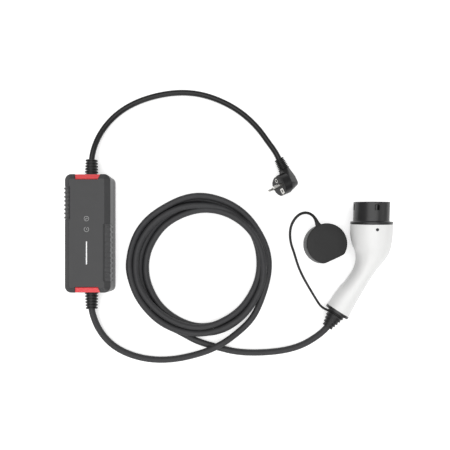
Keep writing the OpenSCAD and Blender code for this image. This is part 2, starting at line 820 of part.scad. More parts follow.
module touch_springs() {
    color("gold") for (y = touch_y)
        translate([0, y, indicator_top_z]) cylinder(r = touch_r, h = ceiling_z - indicator_top_z);
}

module mains_cable() { color("black") cable(curve(mains_route, 2), mains_d / 2, 10); }

module ev_cable_lead_in() { color("dimgray") cable(curve(lead_in_route, 1), ev_d / 2, 10); }

module ev_cable_lead_out() { color("dimgray") cable(curve(lead_out_route, 1), ev_d / 2, 10); }

module ev_cable_coil() {
    r = ev_d / 2;
    color("dimgray") translate([coil_at[0], coil_at[1], 0]) rotate_extrude($fn = 96) {
        for (i = [0 : coil_turns - 1])
            translate([coil_inner_turn + i * ev_d * coil_pack, r]) circle(r, $fn = 24);
        translate([coil_inner_turn + 1.5 * ev_d * coil_pack, r + coil_top_lift * ev_d]) circle(r, $fn = 24);
    }
}

// Frames of the plug, the gun and the end of the gun's handle
module in_plug() { translate(plug_at) rotate([0, 90 - plug_lift, plug_turn]) children(); }
module in_gun() { translate(gun_at) rotate([gun_tilt, 0, 0]) children(); }
module in_tail() { in_gun() translate([tail[0], -tail[1], 0]) rotate([90, 0, -tail[2]]) children(); }

// Solid along the gun's axis, from a distance in front of the collar's back face
module ahead(from) { translate([0, from, 0]) rotate([-90, 0, 0]) children(); }

// Round pins of the plug, with their root inside the body
module plug_pin(side) {
    in_plug() translate([side * pin_spacing / 2, 0, 0]) {
        translate([0, 0, -pin_root]) cylinder(d = pin_root_d, h = pin_root);
        cylinder(d = pin_d, h = pin_l - pin_tip_chamfer);
        translate([0, 0, pin_l - pin_tip_chamfer])
            cylinder(d1 = pin_d, d2 = pin_d - 2 * pin_tip_chamfer, h = pin_tip_chamfer);
    }
}

// Earth strap of the plug, a bent strip that shows at both sides, grown by a clearance
module strap(grow) {
    for (y = [-1, 1])
        translate([-strap_w / 2 - grow, y * strap_y - strap_t / 2 - grow, -strap_depth - grow])
            cube([strap_w + 2 * grow, strap_t + 2 * grow, strap_depth - over + 2 * grow]);
    translate([-strap_w / 2 - grow, -strap_y - grow, -strap_depth - strap_t - grow])
        cube([strap_w + 2 * grow, 2 * strap_y + 2 * grow, strap_t + 2 * grow]);
}

module plug_body() {
    color("black") in_plug() difference() {
        union() {
            translate([0, 0, -plug_skirt_l]) cylinder(r = plug_r, h = plug_skirt_l);
            hull() {
                translate([0, 0, -plug_skirt_l - plug_step]) cylinder(r = plug_r - plug_step, h = plug_step, $fn = 32);
                for (y = plug_back_y)
                    translate([0, y, -plug_depth]) cylinder(r = plug_back_r, h = plug_back_t, $fn = 32);
                translate([0, -plug_neck_l, -entry_back]) rotate([-90, 0, 0])
                    cylinder(r = plug_neck_r, h = plug_back_t, $fn = 32);
            }
            translate([0, -plug_neck_l, -entry_back]) rotate([90, 0, 0]) rotate_extrude()
                polygon(concat([[0, -over], [plug_neck_r - boot_groove, -over]],
                    rib_points(0, plug_boot_l, plug_boot_ribs, plug_boot_root_r, plug_boot_tip_r),
                    [[0, plug_boot_l]]));
        }
        translate([0, 0, -bridge_t]) cylinder(r = bridge_r + metal_gap, h = bridge_t + over);
        translate([0, -plug_neck_l - plug_boot_l + plug_cable_in, -entry_back]) rotate([90, 0, 0])
            cylinder(r = mains_d / 2 + cable_gap, h = plug_cable_in + over);
        for (x = [-1, 1])
            translate([x * pin_spacing / 2, 0, -pin_root]) cylinder(d = pin_root_d + 2 * metal_gap, h = plug_depth);
        translate([0, socket_y, -socket_l]) cylinder(r = socket_r + metal_gap, h = plug_depth);
        strap(metal_gap);
        for (y = [-1, 1])
            translate([-strap_w / 2 - metal_gap, y * (strap_y + plug_r / 2) - plug_r / 2, -strap_depth])
                cube([strap_w + 2 * metal_gap, plug_r, plug_depth]);
    }
}

module plug_bridge() {
    color("dimgray") in_plug() difference() {
        translate([0, 0, -bridge_t]) cylinder(r = bridge_r, h = bridge_t);
        for (x = [-1, 1])
            translate([x * pin_spacing / 2, 0, -bridge_t - over])
                cylinder(d = pin_root_d + 2 * metal_gap, h = bridge_t + 2 * over);
        translate([0, socket_y, -bridge_t - over]) cylinder(r = socket_r + metal_gap, h = bridge_t + 2 * over);
    }
}

module plug_pin_line() { color("silver") plug_pin(1); }

module plug_pin_neutral() { color("silver") plug_pin(-1); }

module plug_earth_strap() { color("silver") in_plug() strap(0); }

module plug_earth_socket() {
    color("silver") in_plug() translate([0, socket_y, -socket_l]) difference() {
        cylinder(r = socket_r, h = socket_l);
        translate([0, 0, over]) cylinder(r = socket_bore_r, h = socket_l);
    }
}

// Section of the handle at a station, drawn in by a wall
function handle_ring(s, inset) = ring([s[0], -s[1], 0],
    [cos(s[2]), -sin(s[2]), 0] * (s[3] - inset), [0, 0, s[4] - inset], 1, handle_sides);

module gun_handle() {
    path = curve(handle_sections, handle_steps);
    n = handle_sides;
    rings = len(path);
    last = (rings - 1) * n;
    half = rings * n;
    outer = skin(rings, n);
    inner = [for (f = outer) [half + f[3], half + f[2], half + f[1], half + f[0]]];
    front = [for (j = [0 : n - 1]) [j, (j + 1) % n, half + (j + 1) % n, half + j]];
    back = [for (f = front) [f[3] + last, f[2] + last, f[1] + last, f[0] + last]];
    color("whitesmoke") in_gun() difference() {
        polyhedron(
            points = concat([for (s = path) each handle_ring(s, 0)], [for (s = path) each handle_ring(s, handle_wall)]),
            faces = concat(outer, inner, front, back)
        );
        for (side = [0, 180])
            translate([0, gun_screw_y, 0]) rotate([0, side, 0]) {
                cylinder(r = screw_hole_r, h = 2 * collar_r);
                translate([0, 0, gun_screw_seat]) cylinder(r = gun_screw_head_r + fit_gap, h = collar_r);
            }
    }
}

module gun_screws() {
    color("silver") in_gun() for (side = [0, 180])
        translate([0, gun_screw_y, 0]) rotate([0, side, 0]) translate([0, 0, gun_screw_seat])
            screw(screw_r, gun_screw_len - over, gun_screw_head_r, over);
}

// Outline of the nose: a circle with one flat
module nose_outline(r, flat) {
    translate([nose_c, 0]) intersection() {
        circle(r);
        translate([-2 * r, -2 * r]) square([2 * r + flat, 4 * r]);
    }
}

module nose_shroud() {
    color("#303030") in_gun() difference() {
        union() {
            ahead(0) cylinder(r = collar_r, h = collar_t);
            ahead(0) linear_extrude(nose_front) nose_outline(nose_r, nose_flat);
            ahead(-spigot_l) cylinder(r = spigot_r, h = spigot_l + over);
        }
        ahead(carrier_seat) linear_extrude(nose_front) nose_outline(nose_r - nose_wall, nose_flat - nose_wall);
        ahead(-spigot_l - over) cylinder(r = ledge_r, h = nose_front);
        ahead(-spigot_l - over) cylinder(r = spigot_r - spigot_wall, h = spigot_l - over);
        for (turn = [0, 90, -90])
            rotate([0, turn, 0]) translate([nose_c * cos(turn), nose_front - lock_front - lock_l / 2, 0])
                translate([-nose_r - over, -lock_l / 2, -lock_w / 2])
                    cube([lock_depth + over, lock_l, lock_w]);
        for (side = [0, 180])
            translate([0, gun_screw_y, 0]) rotate([0, side, 0]) cylinder(r = screw_r + metal_gap, h = 2 * collar_r);
    }
}

// Something at a contact's place, drawn along the gun's axis
module at_contact(p, from) { ahead(from) translate([p[0] + nose_c, p[1], 0]) children(); }

module contact_carrier() {
    lip_from = carrier_tip - carrier_lip;
    color("#383838") in_gun() difference() {
        union() {
            ahead(carrier_seat) linear_extrude(carrier_plate_t)
                nose_outline(nose_r - nose_wall - fit_gap, nose_flat - nose_wall - fit_gap);
            for (p = concat([earth_at, live_at, neutral_at], spare_at))
                at_contact(p, carrier_seat) cylinder(r = power_tower_r, h = carrier_tip - carrier_seat);
            for (p = [pilot_at, proximity_at])
                at_contact(p, carrier_seat) cylinder(r = signal_tower_r, h = carrier_tip - carrier_seat);
        }
        for (p = [earth_at, live_at, neutral_at]) {
            at_contact(p, carrier_seat - over) cylinder(r = power_sleeve_r + metal_gap, h = lip_from - carrier_seat + over);
            at_contact(p, lip_from - over) cylinder(r = power_bore_r + cable_gap, h = nose_front);
        }
        for (p = [pilot_at, proximity_at]) {
            at_contact(p, carrier_seat - over) cylinder(r = signal_sleeve_r + metal_gap, h = lip_from - carrier_seat + over);
            at_contact(p, lip_from - over) cylinder(r = signal_bore_r + cable_gap, h = nose_front);
        }
        for (p = spare_at)
            at_contact(p, carrier_tip - 2 * over) cylinder(r = power_bore_r, h = nose_front);
    }
}

// Turned contact sleeve with a bore in front and a crimp bore behind
module contact(p, sleeve_r, bore_r) {
    tip = carrier_tip - carrier_lip;
    in_gun() difference() {
        at_contact(p, carrier_seat - contact_tail) cylinder(r = sleeve_r, h = tip - carrier_seat + contact_tail);
        at_contact(p, tip - contact_depth) cylinder(r = bore_r, h = nose_front);
        at_contact(p, carrier_seat - contact_tail - over) cylinder(r = bore_r * crimp_share, h = crimp_depth + over);
    }
}

module contact_live() { color("goldenrod") contact(live_at, power_sleeve_r, power_bore_r); }

module contact_neutral() { color("goldenrod") contact(neutral_at, power_sleeve_r, power_bore_r); }

module contact_earth() { color("goldenrod") contact(earth_at, power_sleeve_r, power_bore_r); }

module contact_pilot() { color("goldenrod") contact(pilot_at, signal_sleeve_r, signal_bore_r); }

module contact_proximity() { color("goldenrod") contact(proximity_at, signal_sleeve_r, signal_bore_r); }

module handle_end_ring() {
    color("black") in_tail() difference() {
        cylinder(r = tail_r, h = end_ring_t);
        translate([0, 0, -over]) cylinder(r = gun_boot_neck_r + fit_gap, h = end_ring_t + 2 * over);
    }
}

module gun_strain_relief() {
    color("black") in_tail() translate([0, 0, end_ring_t])
        ribbed_boot(ev_d / 2 + cable_gap, [gun_flange_r, gun_flange_t], [gun_boot_neck_r, end_ring_t],
            [tether_seat_r, tether_seat_l], gun_boot_l, gun_boot_ribs, gun_boot_root_r, gun_boot_tip_r);
}

module gun_cord_clamp() {
    color("dimgray") in_tail() translate([0, 0, -gun_flange_t - gun_clamp_t]) difference() {
        cylinder(r = gun_clamp_r, h = gun_clamp_t);
        translate([0, 0, -over]) cylinder(r = ev_d / 2 + cable_gap, h = gun_clamp_t + 2 * over);
    }
}

module tether_ring() {
    color("black") in_tail() translate([0, 0, end_ring_t + (tether_seat_l - tether_ring_t) / 2]) difference() {
        cylinder(r = tether_ring_r, h = tether_ring_t);
        translate([0, 0, -over]) cylinder(r = tether_seat_r + fit_gap, h = tether_ring_t + 2 * over);
    }
}

module dust_cap() {
    color("#3a3a3a") translate([cap_at[0], cap_at[1], 0]) {
        rotate([0, 0, cap_turn]) translate([-nose_c, 0, 0]) difference() {
            linear_extrude(cap_h) nose_outline(cap_r, cap_flat);
            translate([0, 0, -over]) linear_extrude(cap_h - cap_top_t + over)
                nose_outline(cap_r - cap_wall, cap_flat - cap_wall);
        }
        rotate([0, 0, lug_turn]) translate([cap_r - cap_wall / 2, -lug_w / 2, lug_z])
            cube([lug_l + cap_wall / 2, lug_w, cap_h - lug_z]);
    }
}

module cap_tether() { color("#3a3a3a") cable(curve(tether_route, 1), tether_d / 2, 8); }

front_cover();
rear_cover();
housing_seal();
mains_end_trim();
ev_end_trim();
left_grip();
right_grip();
light_bar();
mains_strain_relief();
ev_strain_relief();
mains_cord_clamp();
ev_cord_clamp();
clamp_screws();
housing_screws();
main_board();
board_screws();
relay_live();
relay_neutral();
leakage_sensor();
supply_module();
supply_capacitors();
mains_terminal();
ev_terminal();
controller_chip();
board_connector();
indicator_board();
indicator_screws();
status_leds();
touch_springs();
mains_cores();
ev_cores();
mains_cable();
plug_body();
plug_bridge();
plug_pin_line();
plug_pin_neutral();
plug_earth_strap();
plug_earth_socket();
ev_cable_lead_in();
ev_cable_coil();
ev_cable_lead_out();
gun_handle();
nose_shroud();
contact_carrier();
contact_live();
contact_neutral();
contact_earth();
contact_pilot();
contact_proximity();
gun_screws();
handle_end_ring();
gun_strain_relief();
gun_cord_clamp();
dust_cap();
cap_tether();
tether_ring();
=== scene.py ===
"""Portable charger for electric vehicles: a control box, a mains lead with its plug, a coiled
charging lead, and a charging gun with its dust cap on a tether. Metres, in the model's own frame."""
import json
import math

import bmesh
import bpy
import numpy as np
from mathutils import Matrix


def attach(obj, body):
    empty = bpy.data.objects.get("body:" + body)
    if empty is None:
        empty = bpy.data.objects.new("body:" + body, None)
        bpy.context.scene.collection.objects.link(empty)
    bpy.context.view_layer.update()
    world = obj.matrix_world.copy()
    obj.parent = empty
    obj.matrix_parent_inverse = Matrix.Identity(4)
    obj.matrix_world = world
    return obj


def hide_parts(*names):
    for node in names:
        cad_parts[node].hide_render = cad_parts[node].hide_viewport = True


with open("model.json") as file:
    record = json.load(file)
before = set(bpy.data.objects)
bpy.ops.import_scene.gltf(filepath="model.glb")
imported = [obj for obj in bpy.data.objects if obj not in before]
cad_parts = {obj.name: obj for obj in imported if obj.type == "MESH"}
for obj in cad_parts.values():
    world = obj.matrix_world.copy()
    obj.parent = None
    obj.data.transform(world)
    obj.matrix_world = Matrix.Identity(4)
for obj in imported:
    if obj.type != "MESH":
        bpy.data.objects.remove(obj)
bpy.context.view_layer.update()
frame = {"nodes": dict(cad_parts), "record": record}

bl_info = {
    "name": "Portable vehicle charger",
    "version": (1, 0, 0),
    "blender": (4, 5, 0),
    "location": "View3D > Sidebar > Charger",
    "description": "Builds the visible surfaces of a portable charger for electric vehicles",
    "category": "Object",
}

MM = 0.001


def linear(code):
    """sRGB hex to linear RGBA: c / 12.92 below 0.04045, else ((c + 0.055) / 1.055) to the power 2.4."""
    c = np.array([int(code[i:i + 2], 16) for i in (1, 3, 5)]) / 255
    low, high = c / 12.92, ((c + 0.055) / 1.055) ** 2.4
    return (*np.where(c <= 0.04045, low, high).tolist(), 1.0)


def hue(name, code):
    """A colour property with an sRGB default."""
    return bpy.props.FloatVectorProperty(
        name=name, description=name + " of the finish", subtype="COLOR", size=4, min=0, max=1, default=linear(code))


def size(name, words, value):
    """A length property in metres, from millimetres."""
    return bpy.props.FloatProperty(name=name, description=words, default=value * MM, unit="LENGTH", precision=4)


class ChargerBoxSettings(bpy.types.PropertyGroup):
    """Sizes of the control box's visible surfaces."""
    edge_round: size("Edge rounding", "Radius between the side wall and the sloped edge", 3.0)
    crease_round: size("Crease rounding", "Radius between the sloped edge and the face", 1.4)
    wall: size("Wall", "Thickness of the front cover", 2.6)
    symbol_width: size("Symbol stroke", "Width of the printed lines on the face", 0.62)
    symbol_height: size("Symbol height", "Height of the printed lines above the face", 0.1)


class ChargerCableSettings(bpy.types.PropertyGroup):
    """Sizes of the cables and the tether."""
    mains: size("Mains cable", "Diameter of the mains cable", 10.0)
    lead: size("Charging cable", "Diameter of the charging cable", 11.4)
    tether: size("Tether", "Size that the flat tether's width and thickness are shares of", 3.6)
    step: size("Route step", "Distance between the points of a cable's line", 4.0)


class ChargerFinishSettings(bpy.types.PropertyGroup):
    """Colours of the finishes."""
    cover: hue("Cover", "#373738")
    print: hue("Print", "#A6A6A6")
    trim: hue("End trim", "#DE4348")
    grip: hue("Grip", "#424243")
    light: hue("Light bar", "#F0F0F0")
    boot: hue("Boot", "#161617")
    mains: hue("Mains sheath", "#0B0B0C")
    lead: hue("Charging sheath", "#2B2B2D")
    handle: hue("Handle", "#E1E1E0")
    nose: hue("Nose", "#151516")
    cap: hue("Cap", "#222222")
    plug: hue("Plug", "#131314")
    floor: hue("Floor", "#F4F4F4")


def settings(group):
    """One of the scene's property groups."""
    return getattr(bpy.context.scene, "charger_" + group)


# ---- materials


def add_node(tree, kind, values=None, links=None):
    """Adds a node, sets its sockets or settings by name, and links inputs, by name or number, to their sources."""
    node = tree.nodes.new(kind)
    for key, value in (values or {}).items():
        if key in node.inputs:
            node.inputs[key].default_value = value
        else:
            setattr(node, key, value)
    for key, source in (links or {}).items():
        tree.links.new(source, node.inputs[key])
    return node


def empty_tree(block):
    """The node tree of a material or a world, emptied."""
    block.use_nodes = True
    block.node_tree.nodes.clear()
    return block.node_tree


def finish_material(name, colour, spread, patch, grain, depth, rough, **shader):
    """A moulded or drawn surface. Colour = colour times 1 +- spread by a soft cloud of the patch size. A fine noise of
    the grain size leads the roughness from its low to its high value and raises the surface by the depth. Patch, grain
    and depth are in millimetres."""
    known = bpy.data.materials.get(name)
    if known:
        return known
    material = bpy.data.materials.new(name)
    tree = empty_tree(material)
    place = add_node(tree, "ShaderNodeTexCoord").outputs["Object"]
    cloud = add_node(tree, "ShaderNodeTexNoise", {"Scale": 1 / (patch * MM), "Detail": 3.0, "Roughness": 0.6},
                     {"Vector": place})
    fine = add_node(tree, "ShaderNodeTexNoise", {"Scale": 1 / (grain * MM), "Detail": 2.0}, {"Vector": place})
    tone = np.array(colour[:3])
    ramp = add_node(tree, "ShaderNodeValToRGB", links={"Fac": cloud.outputs["Fac"]})
    ramp.color_ramp.elements[0].position, ramp.color_ramp.elements[1].position = 0.3, 0.7
    ramp.color_ramp.elements[0].color = (*np.clip(tone * (1 - spread), 0, 1).tolist(), 1)
    ramp.color_ramp.elements[1].color = (*np.clip(tone * (1 + spread), 0, 1).tolist(), 1)
    gloss = add_node(tree, "ShaderNodeMapRange", {"To Min": rough[0], "To Max": rough[1]},
                     {"Value": fine.outputs["Fac"]})
    bump = add_node(tree, "ShaderNodeBump", {"Strength": 0.6, "Distance": depth * MM},
                    {"Height": fine.outputs["Fac"]})
    surface = add_node(tree, "ShaderNodeBsdfPrincipled", shader, {
        "Base Color": ramp.outputs["Color"], "Roughness": gloss.outputs["Result"], "Normal": bump.outputs["Normal"]})
    add_node(tree, "ShaderNodeOutputMaterial", links={"Surface": surface.outputs["BSDF"]})
    return material


def finishes():
    """Every finish by the name of its slot in the record."""
    tint, make = settings("finish"), finish_material
    return {
        # ABS from a spark-eroded mould: a fine matt grain, drawn coarser than the real 0.1 mm so that it shows
        "cover_plastic": make("ABS spark eroded", tint.cover, 0.04, 24, 0.5, 0.025, (0.34, 0.46), IOR=1.41),
        # EPDM: a dull black line in the parting gap
        "seal_rubber": make("EPDM seal", linear("#161616"), 0.1, 8, 0.6, 0.02, (0.7, 0.8), IOR=1.5),
        # Polycarbonate with its colour in the melt: smooth and half glossy
        "trim_plastic": make("polycarbonate red", tint.trim, 0.05, 9, 0.7, 0.008, (0.3, 0.4), IOR=1.58),
        # TPE over the cover: a little lighter than it, with a soft sheen on the ribs
        "grip_rubber": make("TPE overmould", tint.grip, 0.1, 6, 0.6, 0.03, (0.3, 0.4), IOR=1.46),
        # Acrylic: an even white, unlit
        "light_pipe": make("acrylic diffuser", tint.light, 0.02, 5, 0.8, 0.004, (0.3, 0.4), IOR=1.49),
        # Ink: flat pale grey lines
        "symbol_ink": make("pad printing ink", tint.print, 0.04, 3, 0.4, 0.004, (0.5, 0.6), IOR=1.5),
        # Soft PVC: near black, with narrow lights along the ribs
        "boot_rubber": make("PVC boot", tint.boot, 0.12, 7, 0.7, 0.02, (0.36, 0.48), IOR=1.45),
        # Chloroprene: the deepest black, smooth enough for one light line along the cable
        "mains_sheath": make("chloroprene sheath", tint.mains, 0.12, 12, 0.8, 0.015, (0.26, 0.36), IOR=1.4),
        # Polyurethane sheath: drawn with a matt skin, slightly mottled
        "ev_sheath": make("polyurethane sheath", tint.lead, 0.1, 14, 0.7, 0.02, (0.55, 0.68), IOR=1.5),
        # PVC: black with a faint gloss on the round body
        "plug_plastic": make("PVC plug moulding", tint.plug, 0.12, 9, 0.6, 0.012, (0.3, 0.42), IOR=1.4),
        # Plated and bare metals: bright, each with its own warmth. The screws are dark and dull: black oxide, darkened
        # further as painted shade for their recesses
        "pin_metal": make("nickel plate", linear("#C9C8C4"), 0.04, 6, 0.4, 0.004, (0.18, 0.3), Metallic=1.0),
        "contact_metal": make("silver plate", linear("#D6D2C6"), 0.05, 6, 0.4, 0.004, (0.2, 0.3), Metallic=1.0),
        "spring_metal": make("phosphor bronze", linear("#B98A4A"), 0.06, 6, 0.4, 0.004, (0.25, 0.35), Metallic=1.0),
        # Screws: black oxide steel whose near black also paints the shade inside the handle's screw recesses
        "screw_steel": make("black oxide steel and painted recess shade", linear("#3A3A3C"), 0.08, 3, 0.3, 0.006, (0.35, 0.45), Metallic=1.0),
        # White PC/ABS, polished mould: clean with a soft gloss
        "handle_plastic": make("PC ABS white", tint.handle, 0.012, 30, 0.8, 0.006, (0.3, 0.4), IOR=1.55),
        # Glass filled nylon: black with a broad sheen
        "nose_plastic": make("glass filled nylon", tint.nose, 0.1, 10, 0.6, 0.015, (0.28, 0.38), IOR=1.53),
        # TPE: an even dark grey, almost without gloss
        "cap_rubber": make("TPE cap", tint.cap, 0.05, 16, 0.7, 0.02, (0.4, 0.52), IOR=1.33),
        # Inside the box: mouldings, boards, relay cases and cores in their usual colours
        "inner_plastic": make("PBT moulding", linear("#333437"), 0.08, 6, 0.6, 0.02, (0.4, 0.55), IOR=1.55),
        "board_laminate": make("glass epoxy board", linear("#1B5C36"), 0.1, 5, 0.5, 0.01, (0.3, 0.42), IOR=1.55),
        "relay_plastic": make("PBT relay case", linear("#2A4C8F"), 0.06, 7, 0.6, 0.01, (0.35, 0.5), IOR=1.55),
        "core_sheath": make("PVC core", linear("#7A4B26"), 0.08, 5, 0.6, 0.01, (0.35, 0.45), IOR=1.53),
    }


# ---- meshes from arrays


def grid_quads(rows, columns, wrap_rows=False, wrap_columns=False):
    """Quads of a grid of points, each between a point, its next column and its next row."""
    index = np.arange(rows * columns).reshape(rows, columns)
    if wrap_rows:
        index = np.vstack([index, index[:1]])
    if wrap_columns:
        index = np.hstack([index, index[:, :1]])
    return np.stack([index[:-1, :-1], index[:-1, 1:], index[1:, 1:], index[1:, :-1]], axis=-1).reshape(-1, 4)


def fan(loop, pole):
    """Triangles from each edge of a loop of point numbers to one pole."""
    return np.stack([loop, np.roll(loop, -1), np.full(len(loop), pole)], axis=-1)


def outward(points, faces):
    """The faces turned so that a closed skin holds a positive volume: the sum of p0 . (p1 x p2) / 6 is above zero."""
    total = 0.0
    for part in faces:
        a = points[part[:, 0]]
        for k in range(1, part.shape[1] - 1):
            total += np.einsum("ij,ij->", a, np.cross(points[part[:, k]], points[part[:, k + 1]]))
    return [part[:, ::-1] for part in faces] if total < 0 else faces


def piece(name, points, faces, slot, nodes=(), sharp=35.0):
    """An object from points and face arrays, outward, smooth up to the sharp angle, in its slot's finish,
    riding on the part and standing for the named nodes."""
    points = np.asarray(points, float).reshape(-1, 3)
    faces = outward(points, [np.asarray(part) for part in faces])
    mesh = bpy.data.meshes.new(name)
    mesh.from_pydata(points.tolist(), [], [face for part in faces for face in part.tolist()])
    mesh.polygons.foreach_set("use_smooth", np.ones(len(mesh.polygons), bool))
    mesh.set_sharp_from_angle(angle=math.radians(sharp))
    return settle(name, mesh, slot, nodes)


def add_object(name, data):
    """A new object in the scene."""
    obj = bpy.data.objects.new(name, data)
    bpy.context.scene.collection.objects.link(obj)
    return obj


def settle(name, data, slot, nodes=()):
    """An object in the scene with its slot's finish, riding on the part; the nodes that it stands for are hidden."""
    obj = add_object(name, data)
    obj.data.materials.clear()
    obj.data.materials.append(finishes()[slot])
    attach(obj, "root")
    if nodes:
        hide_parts(*nodes)
    return obj


def stack(name, rows, slot, nodes=(), ends="wrap", sharp=35.0):
    """A skin through closed loops of equal count. The last loop joins the first, or each end closes on its middle."""
    rows = np.asarray(rows, float)
    count, around = rows.shape[:2]
    faces = [grid_quads(count, around, ends == "wrap", True)]
    points = rows.reshape(-1, 3)
    if ends == "poles":
        points = np.vstack([points, rows[0].mean(axis=0), rows[-1].mean(axis=0)])
        first, last = np.arange(around), np.arange(around) + (count - 1) * around
        faces.append(np.vstack([fan(first[::-1], count * around), fan(last, count * around + 1)]))
    return piece(name, points, faces, slot, nodes, sharp)


def slab(name, front, back, slot, nodes=()):
    """A closed shell from a front and a back grid of equal size, joined by a strip of quads round their border."""
    rows, columns = front.shape[:2]
    face = grid_quads(rows, columns)
    index = np.arange(rows * columns).reshape(rows, columns)
    rim = np.concatenate([index[0], index[1:, -1], index[-1, -2::-1], index[-2:0:-1, 0]])
    nxt, off = np.roll(rim, -1), rows * columns
    strip = np.stack([rim, rim + off, nxt + off, nxt], axis=-1)
    points = np.vstack([front.reshape(-1, 3), back.reshape(-1, 3)])
    return piece(name, points, [face, face[:, ::-1] + off, strip], slot, nodes)


def unit(v):
    """A vector over its length, along the last axis."""
    v = np.asarray(v, float)
    return v / np.linalg.norm(v, axis=-1, keepdims=True)


def lathe(name, profile, origin, axis, slot, nodes=(), sides=72):
    """A closed profile of radius and height turned about an axis: origin + height * axis + radius * (cos, sin)."""
    axis = unit(axis)
    side = unit(np.cross([0, 0, 1], axis) if abs(axis[2]) < 0.9 else np.cross([0, 1, 0], axis))
    turn = np.linspace(0, 2 * np.pi, sides, endpoint=False)
    spoke = np.cos(turn)[:, None] * side + np.sin(turn)[:, None] * np.cross(axis, side)
    profile = np.asarray(profile, float)
    rows = np.asarray(origin) + profile[:, 1, None, None] * axis + profile[:, 0, None, None] * spoke
    return stack(name, rows, slot, nodes)


def rounded_profile(corners, radius, steps=4):
    """A closed polygon with each corner replaced by an arc: a quadratic through the points one radius before and
    after the corner, less where an edge is short."""
    p = np.asarray(corners, float)
    before, after = np.roll(p, 1, axis=0) - p, np.roll(p, -1, axis=0) - p
    lb, la = np.linalg.norm(before, axis=1), np.linalg.norm(after, axis=1)
    cut = np.minimum(np.asarray(radius, float) * np.ones(len(p)), 0.45 * np.minimum(lb, la))[:, None]
    a, b = p + before / lb[:, None] * cut, p + after / la[:, None] * cut
    t = np.linspace(0, 1, steps + 1)[None, :, None]
    return ((1 - t) ** 2 * a[:, None] + 2 * t * (1 - t) * p[:, None] + t ** 2 * b[:, None]).reshape(-1, 2)


def softened(node, name, width, slot, angle=30.0, segments=2):
    """A copy of a node's mesh, merged and with flat faces joined, whose edges above the angle are rounded."""
    mesh = frame["nodes"][node].data.copy()
    work = bmesh.new()
    work.from_mesh(mesh)
    bmesh.ops.remove_doubles(work, verts=work.verts, dist=0.002 * MM)
    bmesh.ops.dissolve_limit(work, angle_limit=math.radians(0.5), verts=work.verts, edges=work.edges)
    work.to_mesh(mesh)
    work.free()
    mesh.name = name
    mesh.polygons.foreach_set("use_smooth", np.ones(len(mesh.polygons), bool))
    mesh.set_sharp_from_angle(angle=math.radians(angle))
    obj = settle(name, mesh, slot, (node,))
    bevel = obj.modifiers.new("Soft edges", "BEVEL")
    bevel.width = width * MM
    bevel.segments = segments
    bevel.limit_method = "ANGLE"
    bevel.angle_limit = math.radians(angle)
    bevel.harden_normals = True
    return obj


# ---- routes


def spline(points, step):
    """A cubic curve through points with continuous bend, natural at both ends, over the chord length; sampled
    every step. The second derivatives solve the usual three-band system."""
    p = np.asarray(points, float)
    s = np.concatenate([[0], np.cumsum(np.linalg.norm(np.diff(p, axis=0), axis=1))])
    h, n = np.diff(s), len(p)
    band = np.eye(n)
    inner = np.arange(1, n - 1)
    band[inner, inner - 1], band[inner, inner], band[inner, inner + 1] = h[:-1], 2 * (h[:-1] + h[1:]), h[1:]
    right = np.zeros_like(p)
    right[1:-1] = 6 * (np.diff(p[1:], axis=0) / h[1:, None] - np.diff(p[:-1], axis=0) / h[:-1, None])
    m = np.linalg.solve(band, right)
    x = np.linspace(0, s[-1], int(s[-1] / step) + 2)
    i = np.clip(np.searchsorted(s, x, side="right") - 1, 0, n - 2)
    a, b, w = (s[i + 1] - x)[:, None], (x - s[i])[:, None], h[i][:, None]
    bend = (m[i] * a ** 3 + m[i + 1] * b ** 3) / (6 * w)
    return bend + (p[i] / w - m[i] * w / 6) * a + (p[i + 1] / w - m[i + 1] * w / 6) * b


def cable_curve(name, points, diameter, slot, nodes):
    """A round cable as one open line with a round bevel."""
    curve = bpy.data.curves.new(name, "CURVE")
    curve.dimensions = "3D"
    line = curve.splines.new("POLY")
    line.points.add(len(points) - 1)
    line.points.foreach_set("co", np.hstack([points, np.ones((len(points), 1))]).ravel())
    line.use_smooth = True
    curve.bevel_depth = diameter / 2
    curve.bevel_resolution = 7
    curve.use_fill_caps = True
    return settle(name, curve, slot, nodes)


def flat_tube(name, line, width, thick, slot, nodes=(), sides=20):
    """A band with rounded edges along a line: line + width / 2 * cos * side + thick / 2 * sin * lift, where side is
    level and square to the line, and lift is square to both."""
    ahead = unit(np.gradient(line, axis=0))
    side = unit(np.cross([0.0, 0.0, 1.0], ahead))
    lift = np.cross(ahead, side)
    a = np.linspace(0, 2 * np.pi, sides, endpoint=False)[None, :, None]
    half_w, half_t = (np.broadcast_to(v, len(line))[:, None, None] / 2 for v in (width, thick))
    rows = line[:, None] + half_w * np.cos(a) * side[:, None] + half_t * np.sin(a) * lift[:, None]
    return stack(name, rows, slot, nodes, "poles", 50)


PLUG_AT = np.array([333.4, 84.8, 24.0])
PLUG_TURN, PLUG_LIFT = math.radians(206.0), math.radians(25.0)
PLUG_N = np.array([math.cos(PLUG_LIFT) * math.cos(PLUG_TURN), math.cos(PLUG_LIFT) * math.sin(PLUG_TURN),
                   math.sin(PLUG_LIFT)])
PLUG_Y = np.array([-math.sin(PLUG_TURN), math.cos(PLUG_TURN), 0.0])
PLUG_X = np.cross(PLUG_Y, PLUG_N)
GUN_AT = np.array([493.5, 16.3, 37.4])
GUN_TILT = math.radians(5.65)
GUN_FRAME = np.array([[1, 0, 0], [0, math.cos(GUN_TILT), math.sin(GUN_TILT)],
                      [0, -math.sin(GUN_TILT), math.cos(GUN_TILT)]])
TAIL_TURN = math.radians(32.0)
TAIL_BACK = np.array([-math.sin(TAIL_TURN), -math.cos(TAIL_TURN), 0.0])
TAIL_LEFT = np.array([-math.cos(TAIL_TURN), math.sin(TAIL_TURN), 0.0])
BOX_W, BOX_L, BOX_H = 79.0, 206.0, 50.0
PARTING = 16.5
CABLE_END = 77.4


def plug_point(x, y, z):
    """A point of the plug's own frame, with z along its pins and the cable leaving along -y."""
    return PLUG_AT + x * PLUG_X + y * PLUG_Y + z * PLUG_N


